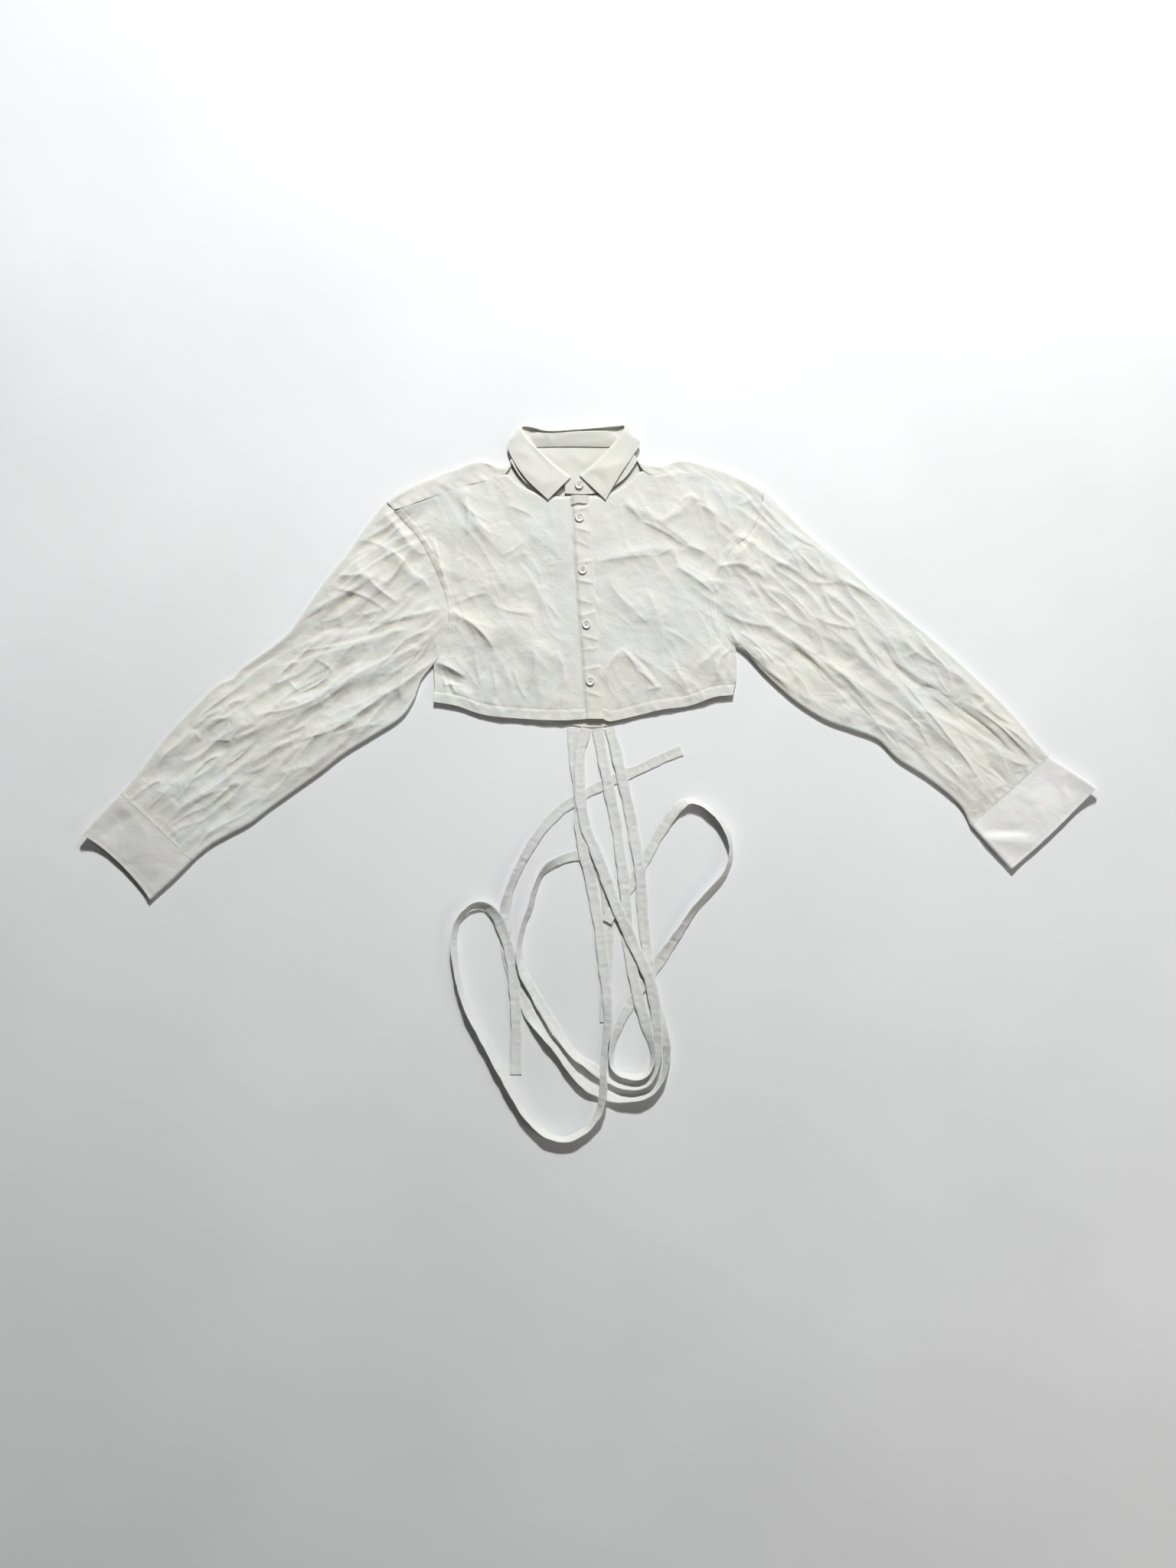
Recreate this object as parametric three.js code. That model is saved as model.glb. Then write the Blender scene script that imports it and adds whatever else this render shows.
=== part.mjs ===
// Long-sleeved cropped shirt of thin cotton, crumpled and laid flat on its back,
// with four long ties that start at the centre of the back hem.
//
// Millimetres, +Z up. The garment rests on the plane z = 0.
// Places on the garment are read on a laying-out board: "across" runs to the
// right from the board's left edge and "down" runs from its top edge, so a
// point of the board is x = across - BOARD.across and y = BOARD.down - down.
// The origin is the middle of the garment, without its ties, on the table.

import * as THREE from 'three';

// ---------------------------------------------------------------------------
// Driving dimensions
// ---------------------------------------------------------------------------

const BOARD = { across: 769.5, down: 865.1 }; // the origin's place on the board

const CLOTH = 1.4; // one ply of cloth, measured straight up
const BAND = 1.6; // two plies and interlining: collar, stand, cuff and placket
const SEAM = 0.6; // nominal gap at a seam, so that facets stay 0.3 clear
const SLEEVE_EASE = 0.8; // more at the armholes, where both sides are curved
const LAP = 0.6; // nominal gap between plies that lie on each other

const LIE = 5.6; // usual height of the upper ply's face over the table
const LOWEST_TOP = 3.6; // the upper ply's face where it lies on the lower ply
const HIGHEST_TOP = 17; // crest of the largest folds
const HEM = 13; // depth of the turned hem
const HEM_EXTRA = 0.7; // how far the turned hem stands over the single cloth

const BEND = 3.2; // how far a folded edge rounds in
const EDGE_RISE = 2.6; // how far the lower ply lifts beside a sleeve's edges
const EDGE_BAND = 16; // width over which it lifts

const PLACKET = 24; // width of the buttoned band
const BUTTON = { diameter: 11.4, thick: 2.6, rim: 1.5, dish: 0.7 };
const TIE = { wide: 14, thick: 1.2 };

const ARMHOLE_STEPS = 14; // steps of a seam round half an armhole
const SIDE_STEPS = 4; // steps from the armpit to the hem
const FRONT_STEPS = 13; // steps across a front
const SLEEVE_STEPS_PER_ROW = 2;

// ---------------------------------------------------------------------------
// Tables and curves
// ---------------------------------------------------------------------------

function table(names, rows) {
  return rows.map((row) => Object.fromEntries(names.map((name, i) => [name, row[i]])));
}

function mixNumber(a, b, t) {
  return a + (b - a) * t;
}

function mixPoint(a, b, t) {
  return { x: mixNumber(a.x, b.x, t), y: mixNumber(a.y, b.y, t) };
}

function clamp(value, low, high) {
  return Math.min(high, Math.max(low, value));
}

function smooth(t) {
  const s = clamp(t, 0, 1);
  return s * s * (3 - 2 * s);
}

function catmull(a, b, c, d, t) {
  const bend = (2 * b - 2 * c + (c - a) / 2 + (d - b) / 2) * t;
  const slope = -3 * b + 3 * c - (c - a) - (d - b) / 2;
  return ((bend + slope) * t + (c - a) / 2) * t + b;
}

// Every named column of a table at place t, from 0 at the first row to 1 at the last.
function along(rows, t) {
  const place = clamp(t, 0, 1) * (rows.length - 1);
  const i = Math.min(Math.floor(place), rows.length - 2);
  const row = (n) => rows[clamp(n, 0, rows.length - 1)];
  const mixed = {};
  for (const name of Object.keys(rows[0])) {
    mixed[name] = catmull(
      row(i - 1)[name], row(i)[name], row(i + 1)[name], row(i + 2)[name], place - i);
  }
  return mixed;
}

// A table of board points as a curve with even spacing, t from 0 to 1.
function seamLine(rows) {
  const fine = 120;
  const points = [];
  const reach = [0];
  for (let i = 0; i <= fine; i += 1) {
    const row = along(rows, i / fine);
    points.push(onBoard(row.across, row.down));
    if (i > 0) {
      reach.push(reach[i - 1] + Math.hypot(
        points[i].x - points[i - 1].x, points[i].y - points[i - 1].y));
    }
  }
  return (t) => {
    const want = clamp(t, 0, 1) * reach[fine];
    let i = 1;
    while (i < fine && reach[i] < want) i += 1;
    return mixPoint(points[i - 1], points[i], (want - reach[i - 1]) / (reach[i] - reach[i - 1]));
  };
}

function onBoard(across, down) {
  return { x: across - BOARD.across, y: BOARD.down - down };
}

// ---------------------------------------------------------------------------
// Folds of the upper ply
// ---------------------------------------------------------------------------

// A row is one fold: a crest (height above 0) or a trough (below 0) from one
// board point to another. bow moves its middle to the left of its run. Its
// left and right flanks fall away over their own widths.
const FOLD_COLUMNS = ['across', 'down', 'toAcross', 'toDown', 'bow', 'left', 'right', 'height'];

const FOLDS = table(FOLD_COLUMNS, [
  // left sleeve: fan of folds from the underarm to the outer edge
  [592, 792, 392, 858, -8, 14, 10, 4.2],
  [575, 786, 300, 884, 10, 10, 15, -2.6],
  [590, 800, 300, 960, 14, 9, 18, 3.6],
  [560, 850, 262, 950, -16, 14, 8, -2.0],
  [548, 872, 330, 1010, 8, 14, 12, 3.0],
  [506, 660, 548, 712, 3, 6, 13, -2.6],
  [497, 664, 545, 724, 3, 8, 11, 3.6],
  [508, 712, 562, 772, -4, 8, 14, 2.4],
  [456, 716, 530, 790, -10, 14, 20, 2.6],
  [438, 752, 520, 768, 8, 9, 12, 1.8],
  [424, 824, 318, 872, 6, 9, 16, -2.4],
  [352, 896, 196, 1024, -10, 14, 10, 2.8],
  [430, 906, 290, 974, -12, 9, 14, 2.6],
  [455, 960, 300, 1060, 10, 16, 12, 2.4],
  [330, 1000, 214, 1058, 8, 12, 14, 2.0],
  [540, 842, 524, 916, -8, 12, 7, 3.0],
  // right sleeve: long ridges from the armhole to the cuff
  [936, 776, 1182, 992, 16, 15, 12, 4.4],
  [1004, 826, 1160, 980, 12, 9, 12, -2.6],
  [1048, 796, 1284, 1030, 14, 11, 20, 3.8],
  [1140, 836, 1350, 1000, -12, 9, 13, -2.8],
  [1160, 820, 1362, 992, 12, 12, 12, 3.4],
  [984, 716, 1170, 806, 14, 12, 16, 3.2],
  [1020, 694, 1104, 736, 5, 7, 11, 2.6],
  [934, 742, 1006, 764, 10, 12, 9, 2.8],
  [946, 728, 992, 700, -6, 10, 12, 2.6],
  [1000, 652, 984, 712, 5, 9, 7, -2.0],
  [964, 826, 1040, 902, -6, 10, 13, 3.0],
  [1130, 944, 1246, 1046, -8, 14, 9, 3.4],
  [1236, 900, 1330, 1004, 8, 13, 9, 2.4],
  [1290, 996, 1326, 1030, 0, 14, 12, -1.8],
  // left front
  [566, 700, 590, 784, -3, 7, 13, 2.2],
  [604, 640, 660, 722, -10, 15, 10, 2.8],
  [590, 798, 652, 862, 8, 12, 9, 3.4],
  [596, 782, 700, 760, 8, 20, 16, 2.2],
  [640, 800, 736, 868, -10, 16, 22, 2.4],
  [650, 850, 672, 930, 4, 14, 14, 2.4],
  [704, 836, 716, 932, -6, 16, 12, 3.0],
  [676, 690, 742, 744, 6, 16, 14, 2.0],
  [560, 866, 608, 884, 2, 20, 6, 3.2],
  // right front
  [812, 656, 918, 726, 5, 13, 8, 3.8],
  [880, 716, 776, 738, -5, 12, 9, 2.6],
  [880, 738, 934, 778, 3, 12, 9, 2.6],
  [858, 684, 908, 644, -5, 12, 9, 3.4],
  [906, 650, 956, 694, 4, 9, 12, 2.6],
  [838, 606, 884, 628, 4, 9, 12, 2.0],
  [800, 748, 846, 812, -8, 14, 12, 2.2],
  [842, 768, 866, 850, 6, 12, 14, 2.2],
  [812, 846, 860, 902, 4, 8, 13, 3.4],
  [784, 890, 812, 848, 3, 10, 12, 2.2],
  [876, 858, 898, 900, -3, 10, 12, 2.2],
  [944, 838, 900, 878, 5, 14, 12, 3.2],
  [930, 846, 952, 896, -4, 8, 8, 2.4],
]);

function foldHeight(fold, x, y) {
  const from = onBoard(fold.across, fold.down);
  const to = onBoard(fold.toAcross, fold.toDown);
  const length = Math.hypot(to.x - from.x, to.y - from.y);
  const run = { x: (to.x - from.x) / length, y: (to.y - from.y) / length };
  const t = ((x - from.x) * run.x + (y - from.y) * run.y) / length;
  if (t <= 0 || t >= 1) return 0;
  const swell = 4 * t * (1 - t);
  const aside = (x - from.x) * -run.y + (y - from.y) * run.x - fold.bow * swell;
  const flank = aside > 0 ? fold.left : fold.right;
  return fold.height * Math.pow(swell, 0.6) * Math.exp(-((aside / flank) ** 2));
}

// Height of the upper ply's outer face over the table.
function upperFace(x, y) {
  let height = LIE;
  for (const fold of FOLDS) height += foldHeight(fold, x, y);
  return clamp(height, LOWEST_TOP, HIGHEST_TOP);
}

// ---------------------------------------------------------------------------
// Closed solids from grids of points
// ---------------------------------------------------------------------------

function solid(points, faces) {
  let volume = 0;
  for (const [a, b, c] of faces) {
    volume += points[a].dot(points[b].clone().cross(points[c]));
  }
  const outward = volume > 0 ? faces : faces.map(([a, b, c]) => [a, c, b]);
  const geometry = new THREE.BufferGeometry();
  const flat = points.flatMap((point) => [point.x, point.y, point.z]);
  geometry.setAttribute('position', new THREE.Float32BufferAttribute(flat, 3));
  geometry.setIndex(outward.flat());
  geometry.computeVertexNormals();
  return geometry;
}

// A wall between two grids of rows. A looped grid closes on itself along each row.
function wall(outer, inner, looped) {
  const rows = outer.length;
  const columns = outer[0].length;
  const points = [...outer.flat(), ...inner.flat()];
  const at = (side, row, column) => side * rows * columns + row * columns + (column % columns);
  const faces = [];
  const quad = (a, b, c, d) => faces.push([a, b, c], [a, c, d]);
  const spans = looped ? columns : columns - 1;
  for (let row = 0; row < rows - 1; row += 1) {
    for (let column = 0; column < spans; column += 1) {
      const next = column + 1;
      quad(at(0, row, column), at(0, row, next), at(0, row + 1, next), at(0, row + 1, column));
      quad(at(1, row, column), at(1, row + 1, column), at(1, row + 1, next), at(1, row, next));
    }
  }
  for (let column = 0; column < spans; column += 1) {
    const next = column + 1;
    const last = rows - 1;
    quad(at(0, 0, column), at(1, 0, column), at(1, 0, next), at(0, 0, next));
    quad(at(0, last, column), at(0, last, next), at(1, last, next), at(1, last, column));
  }
  if (!looped) {
    const end = columns - 1;
    for (let row = 0; row < rows - 1; row += 1) {
      quad(at(0, row, 0), at(0, row + 1, 0), at(1, row + 1, 0), at(1, row, 0));
      quad(at(0, row, end), at(1, row, end), at(1, row + 1, end), at(0, row + 1, end));
    }
  }
  return solid(points, faces);
}

function vector(point, z) {
  return new THREE.Vector3(point.x, point.y, z);
}

// A solid bar through rings of points, with a fan at each end. The far half of
// each ring is split along the same diagonals as the near half, so a thin bar
// keeps its thickness where it twists.
function bar(rings) {
  const sides = rings[0].length;
  const points = rings.flat();
  const faces = [];
  for (let ring = 0; ring < rings.length - 1; ring += 1) {
    for (let side = 0; side < sides; side += 1) {
      const a = ring * sides + side;
      const b = ring * sides + (side + 1) % sides;
      const near = side < sides / 2;
      if (near) faces.push([a, b, b + sides], [a, b + sides, a + sides]);
      else faces.push([a, b, a + sides], [b, b + sides, a + sides]);
    }
  }
  const last = (rings.length - 1) * sides;
  for (let side = 1; side < sides - 1; side += 1) {
    faces.push([0, side + 1, side], [last, last + side, last + side + 1]);
  }
  return solid(points, faces);
}

// ---------------------------------------------------------------------------
// Seams that two pieces share
// ---------------------------------------------------------------------------

const POINT_COLUMNS = ['across', 'down'];

const ARMHOLES = {
  left: seamLine(table(POINT_COLUMNS, [
    [505, 655], [522, 674], [546, 700], [564, 731], [580, 768],
    [587, 798], [585, 830], [578, 852], [567, 868],
  ])),
  right: seamLine(table(POINT_COLUMNS, [
    [997, 640], [992, 668], [977, 698], [952, 720], [937, 748],
    [932, 776], [936, 806], [945, 830], [960, 845],
  ])),
};

// A point of an armhole seam, moved off the body by the given distance.
function armhole(side, t, off) {
  const step = 0.01;
  const before = ARMHOLES[side](t - step);
  const after = ARMHOLES[side](t + step);
  const point = ARMHOLES[side](t);
  const length = Math.hypot(after.x - before.x, after.y - before.y);
  const away = side === 'left' ? 1 : -1;
  return {
    x: point.x + away * off * (after.y - before.y) / length,
    y: point.y - away * off * (after.x - before.x) / length,
  };
}

// Points of a four-edged panel: each edge is a curve with t from 0 to 1.
function patch(edges, u, v) {
  const { top, bottom, left, right } = edges;
  const blend = (axis) => {
    const across = mixNumber(left(v)[axis], right(v)[axis], u);
    const down = mixNumber(top(u)[axis], bottom(u)[axis], v);
    const upper = mixNumber(top(0)[axis], top(1)[axis], u);
    const lower = mixNumber(bottom(0)[axis], bottom(1)[axis], u);
    return across + down - mixNumber(upper, lower, v);
  };
  return { x: blend('x'), y: blend('y') };
}

// An edge that runs down an armhole from its given step, then down the side.
function sideEdge(side, firstStep, sideSeam, off) {
  const steps = ARMHOLE_STEPS - firstStep + SIDE_STEPS;
  return (v) => {
    const step = firstStep + v * steps;
    if (step <= ARMHOLE_STEPS) return armhole(side, step / ARMHOLE_STEPS, off);
    return sideSeam((step - ARMHOLE_STEPS) / SIDE_STEPS);
  };
}

const SIDE_SEAMS = {
  left: seamLine(table(POINT_COLUMNS, [[567, 868], [568, 894], [567, 917]])),
  right: seamLine(table(POINT_COLUMNS, [[960, 845], [962, 876], [957, 908]])),
};

// ---------------------------------------------------------------------------
// Body: two fronts, back and yoke
// ---------------------------------------------------------------------------

const FRONTS = {
  left: {
    // shoulder seam, then the neckline to the centre front
    top: seamLine(table(POINT_COLUMNS, [
      [514.5, 666], [548, 655], [597, 637], [640, 627], [662, 622],
      [676, 630], [692, 639], [714, 647], [764, 648],
    ])),
    bottom: seamLine(table(POINT_COLUMNS, [
      [567, 917], [596, 922], [634, 934], [684, 939], [735, 941], [782, 938],
    ])),
    middle: seamLine(table(POINT_COLUMNS, [[764, 648], [770, 760], [782, 938]])),
  },
  right: {
    top: seamLine(table(POINT_COLUMNS, [
      [769, 648], [782, 647], [803, 641], [822, 630], [838, 620],
      [888, 619], [924, 627], [956, 644], [994.5, 657],
    ])),
    bottom: seamLine(table(POINT_COLUMNS, [
      [788, 939], [799, 942], [835, 934], [864, 927], [900, 922], [932, 911], [957, 908],
    ])),
    middle: seamLine(table(POINT_COLUMNS, [[769, 648], [775, 760], [788, 939]])),
  },
};

function frontEdges(side) {
  const shape = FRONTS[side];
  const outer = sideEdge(side, 1, SIDE_SEAMS[side], 0);
  return {
    top: shape.top,
    bottom: shape.bottom,
    left: side === 'left' ? outer : shape.middle,
    right: side === 'left' ? shape.middle : outer,
  };
}

// The hem's turned ply makes the cloth thicker over its last few millimetres.
function hemStep(point, hemPoint) {
  const depth = Math.hypot(point.x - hemPoint.x, point.y - hemPoint.y);
  return depth < HEM + 1 ? HEM_EXTRA : 0;
}

function makeFront(side) {
  const edges = frontEdges(side);
  const length = 290;
  const rows = ARMHOLE_STEPS - 1 + SIDE_STEPS;
  const places = [];
  for (let row = 0; row <= rows; row += 1) places.push(row / rows);
  places.splice(rows, 0, 1 - HEM / length);
  const outer = [];
  const inner = [];
  for (const v of places) {
    const outerRow = [];
    const innerRow = [];
    for (let column = 0; column <= FRONT_STEPS; column += 1) {
      const u = column / FRONT_STEPS;
      const point = patch(edges, u, v);
      const face = upperFace(point.x, point.y);
      outerRow.push(vector(point, face + hemStep(point, edges.bottom(u))));
      innerRow.push(vector(point, face - CLOTH));
    }
    outer.push(outerRow);
    inner.push(innerRow);
  }
  return wall(outer, inner, false);
}

// The buttoned band lies on the left front along its centre edge.
function makePlacket() {
  const rows = 17;
  const columns = 2;
  const outer = [];
  const inner = [];
  for (let row = 0; row <= rows; row += 1) {
    const v = row / rows;
    const edge = FRONTS.right.middle(v);
    const outerRow = [];
    const innerRow = [];
    for (let column = 0; column <= columns; column += 1) {
      const aside = SEAM + PLACKET * (1 - column / columns);
      const point = { x: edge.x - aside, y: edge.y };
      const under = Math.max(
        upperFace(point.x - 4, point.y), upperFace(point.x, point.y), upperFace(point.x + 4, point.y));
      innerRow.push(vector(point, under + HEM_EXTRA + LAP));
      outerRow.push(vector(point, under + HEM_EXTRA + LAP + BAND));
    }
    outer.push(outerRow);
    inner.push(innerRow);
  }
  return wall(outer, inner, false);
}

const YOKE_STEPS = 4; // steps of the armhole that the yoke takes on the back
const YOKE_SEAM_RISE = 9; // how far the yoke's seam rises at the middle of the back

// The seam between yoke and back, u from 0 at the left armhole to 1 at the right.
function yokeSeam(u) {
  const start = armhole('left', YOKE_STEPS / ARMHOLE_STEPS, 0);
  const end = armhole('right', YOKE_STEPS / ARMHOLE_STEPS, 0);
  const point = mixPoint(start, end, u);
  point.y += YOKE_SEAM_RISE * 4 * u * (1 - u);
  return point;
}

const BACK = {
  bottom: seamLine(table(POINT_COLUMNS, [
    [567, 916], [634, 932], [700, 938], [740, 945], [770, 949],
    [798, 946], [835, 933], [900, 920], [957, 907],
  ])),
};

function makeBack() {
  const edges = {
    top: yokeSeam,
    bottom: BACK.bottom,
    left: sideEdge('left', YOKE_STEPS, SIDE_SEAMS.left, 0),
    right: sideEdge('right', YOKE_STEPS, SIDE_SEAMS.right, 0),
  };
  const rows = ARMHOLE_STEPS - YOKE_STEPS + SIDE_STEPS;
  const columns = 12;
  const outer = [];
  const inner = [];
  for (let row = 0; row <= rows; row += 1) {
    const outerRow = [];
    const innerRow = [];
    for (let column = 0; column <= columns; column += 1) {
      const point = patch(edges, column / columns, row / rows);
      outerRow.push(vector(point, CLOTH));
      innerRow.push(vector(point, 0));
    }
    outer.push(outerRow);
    inner.push(innerRow);
  }
  return wall(outer, inner, false);
}

// The yoke lies under the shoulders and comes over them to the shoulder seams.
// A row is one place from the left armhole to the right one: the folded edge
// (or a line just behind the neckline) and the shoulder seam (or the neckline).
// wrap is 1 where the yoke comes over the shoulder and 0 along the neckline.
const YOKE = table(['outAcross', 'outDown', 'seamAcross', 'seamDown', 'wrap'], [
  [505, 655, 513, 664.6, 1],
  [524, 642, 530, 660, 1],
  [544, 631, 548, 653, 1],
  [570, 621, 573, 644, 1],
  [596, 612, 597, 635, 1],
  [623, 602, 625, 628, 1],
  [643, 608, 645, 623, 1],
  [656, 610, 657, 620, 1],
  [668, 606.5, 668, 606.5, 0.5],
  [679, 604, 678, 598, 0],
  [690, 600, 688, 593, 0],
  [718, 595, 718, 588, 0],
  [750, 594, 750, 587, 0],
  [782, 595, 782, 588, 0],
  [808, 598, 808, 591, 0],
  [823, 602, 823, 596, 0],
  [834, 603.5, 834, 603.5, 0.5],
  [844, 605, 844, 616, 1],
  [863, 607, 862, 617, 1],
  [888, 601, 888, 615.5, 1],
  [924, 608, 923, 622, 1],
  [950, 617, 949, 638, 1],
  [974, 627, 973, 647, 1],
  [997, 640, 995, 653, 1],
]);

function makeYoke() {
  const outer = [];
  const inner = [];
  const last = YOKE.length - 1;
  YOKE.forEach((row, i) => {
    const out = onBoard(row.outAcross, row.outDown);
    const seam = onBoard(row.seamAcross, row.seamDown);
    const u = (row.outAcross - YOKE[0].outAcross) / (YOKE[last].outAcross - YOKE[0].outAcross);
    const back = yokeSeam(u);
    back.y += SEAM;
    const reach = Math.hypot(back.x - out.x, back.y - out.y);
    // The two ends run down the armholes, the rest straight to the back seam.
    const lower = (share) => {
      if (i > 0 && i < last) return mixPoint(out, back, share);
      const end = armhole(i === 0 ? 'left' : 'right', share * YOKE_STEPS / ARMHOLE_STEPS, 0);
      return { x: end.x, y: end.y + SEAM * share };
    };
    const top = LIE - 0.4;
    const outerRow = [];
    const innerRow = [];
    if (row.wrap === 1) {
      const seamTop = upperFace(seam.x, seam.y);
      const shoulder = mixPoint(out, seam, BEND / Math.hypot(seam.x - out.x, seam.y - out.y));
      outerRow.push(vector(seam, seamTop), vector(shoulder, top), vector(out, top / 2));
      innerRow.push(
        vector(seam, seamTop - CLOTH), vector(shoulder, top - CLOTH),
        vector(lower(CLOTH * 1.3 / reach), top / 2));
      outerRow.push(vector(lower(BEND / reach), 0));
      innerRow.push(vector(lower(BEND / reach), CLOTH));
    } else if (row.wrap === 0) {
      for (const share of [0, 0.35, 0.7, 1]) {
        const point = mixPoint(seam, out, share);
        outerRow.push(vector(point, 0));
        innerRow.push(vector(point, CLOTH));
      }
    } else {
      for (const z of [3, 2.2, 1.3]) {
        outerRow.push(vector(out, z));
        innerRow.push(vector(lower(CLOTH / reach), z + 0.3));
      }
      outerRow.push(vector(lower(BEND / reach), 0));
      innerRow.push(vector(lower(BEND / reach), CLOTH));
    }
    for (const share of [0.36, 0.68, 1]) {
      outerRow.push(vector(lower(share), 0));
      innerRow.push(vector(lower(share), CLOTH));
    }
    outer.push(outerRow);
    inner.push(innerRow);
  });
  return wall(outer, inner, false);
}

// ---------------------------------------------------------------------------
// Sleeves and cuffs: flattened tubes
// ---------------------------------------------------------------------------

// A row is one section: the outer (shoulder side) and under (armpit side) edge.
const SECTION_COLUMNS = ['outAcross', 'outDown', 'underAcross', 'underDown'];

const SLEEVES = {
  left: table(SECTION_COLUMNS, [
    [505, 655, 567, 868],
    [480, 687, 550, 889],
    [455, 723, 541, 914],
    [427, 757, 524, 938],
    [402, 793, 490, 960],
    [381, 822, 451, 984],
    [353, 846, 420, 1008],
    [309, 876, 385, 1033],
    [284, 895, 353, 1056],
    [256, 922, 328, 1075],
    [222, 957, 302, 1089],
    [187, 1003, 276, 1104],
    [160, 1035, 253, 1123],
  ]),
  right: table(SECTION_COLUMNS, [
    [997, 640, 960, 845],
    [1025, 668, 978, 858],
    [1052, 695, 995, 877],
    [1086, 724, 1019, 900],
    [1120, 753, 1046, 922],
    [1155, 783, 1080, 942],
    [1190, 812, 1114, 954],
    [1225, 841, 1146, 967],
    [1259, 872, 1171, 991],
    [1294, 905, 1208, 1015],
    [1326, 938, 1238, 1038],
    [1350, 967, 1256, 1056],
    [1368, 987, 1266, 1077],
  ]),
};

const CUFFS = {
  // the cuff goes on from the sleeve's last section; rise lifts its under ply
  left: table([...SECTION_COLUMNS, 'bow', 'outRise', 'underRise'], [
    [159.4, 1035.7, 252.4, 1123.7, 0, 2.6, 2.6],
    [134, 1062, 231, 1145, -2, 5, 2.6],
    [109, 1088, 198, 1175, -5, 10, 2],
  ]),
  right: table([...SECTION_COLUMNS, 'bow', 'outRise', 'underRise'], [
    [1368.7, 987.6, 1266.7, 1077.6, 0, 2.6, 2.6],
    [1399, 1007, 1292, 1106, 2, 5, 2.6],
    [1430, 1028, 1319, 1135, 3, 9, 3],
  ]),
};

const TOP_SPANS = 14; // spans of a tube's upper ply
const UNDER_SPANS = 10; // spans of its lower ply

// One ring of a flattened tube. place(a) is the point at share a from the
// outer edge to the under edge, top and bottom give the faces' heights there.
function tubeRing(place, width, top, bottom, thick) {
  const outer = [];
  const inner = [];
  const inset = BEND / width;
  for (let i = 0; i <= TOP_SPANS; i += 1) {
    const a = mixNumber(inset, 1 - inset, i / TOP_SPANS);
    outer.push(vector(place(a), top(a)));
    inner.push(vector(place(a), top(a) - thick));
  }
  const middle = (a) => (top(a) + bottom(a)) / 2;
  outer.push(vector(place(1), middle(1)));
  inner.push(vector(place(1 - 1.3 * thick / width), middle(1)));
  for (let i = 0; i <= UNDER_SPANS; i += 1) {
    const a = mixNumber(1 - inset, inset, i / UNDER_SPANS);
    outer.push(vector(place(a), bottom(a)));
    inner.push(vector(place(a), bottom(a) + thick));
  }
  outer.push(vector(place(0), middle(0)));
  inner.push(vector(place(1.3 * thick / width), middle(0)));
  return { outer, inner };
}

// How far a point at share a of a section of the given width is from its edges, 0 to 1.
function fromEdge(a, width, band) {
  return smooth(Math.min(a, 1 - a) * width / band);
}

function makeSleeve(side) {
  const rows = SLEEVES[side];
  const count = (rows.length - 1) * SLEEVE_STEPS_PER_ROW;
  const fade = 6 * SLEEVE_STEPS_PER_ROW;
  const rings = [];
  for (let step = 0; step <= count; step += 1) {
    const section = along(rows, step / count);
    const out = onBoard(section.outAcross, section.outDown);
    const under = onBoard(section.underAcross, section.underDown);
    const width = Math.hypot(under.x - out.x, under.y - out.y);
    const share = Math.pow(clamp(1 - step / fade, 0, 1), 1.4);
    const lift = EDGE_RISE * smooth(step / 4);
    const place = (a) => {
      const straight = mixPoint(out, under, a);
      const seam = armhole(side, a, SEAM + SLEEVE_EASE);
      const chord = mixPoint(ARMHOLES[side](0), ARMHOLES[side](1), a);
      return {
        x: straight.x + (seam.x - chord.x) * share,
        y: straight.y + (seam.y - chord.y) * share,
      };
    };
    const bottom = (a) => lift * (1 - fromEdge(a, width, EDGE_BAND));
    const top = (a) => {
      const point = place(a);
      const edge = LIE - 0.4 + bottom(a);
      return mixNumber(edge, upperFace(point.x, point.y), fromEdge(a, width, EDGE_BAND));
    };
    rings.push(tubeRing(place, width, top, bottom, CLOTH));
  }
  return wall(rings.map((ring) => ring.outer), rings.map((ring) => ring.inner), true);
}

function makeCuff(side) {
  const rows = CUFFS[side];
  const count = 5;
  const rings = [];
  for (let step = 0; step <= count; step += 1) {
    const section = along(rows, step / count);
    const out = onBoard(section.outAcross, section.outDown);
    const under = onBoard(section.underAcross, section.underDown);
    const width = Math.hypot(under.x - out.x, under.y - out.y);
    const place = (a) => {
      const straight = mixPoint(out, under, a);
      const swell = section.bow * 4 * a * (1 - a);
      return {
        x: straight.x - swell * (under.y - out.y) / width,
        y: straight.y + swell * (under.x - out.x) / width,
      };
    };
    const bottom = (a) => section.outRise * Math.pow(clamp(1 - a * width / 45, 0, 1), 2)
      + section.underRise * Math.pow(clamp(1 - (1 - a) * width / 30, 0, 1), 2);
    const top = (a) => bottom(a) + LIE + 0.2 + 1.2 * fromEdge(a, width, 40);
    rings.push(tubeRing(place, width, top, bottom, BAND));
  }
  return wall(rings.map((ring) => ring.outer), rings.map((ring) => ring.inner), true);
}

// ---------------------------------------------------------------------------
// Collar
// ---------------------------------------------------------------------------

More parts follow.
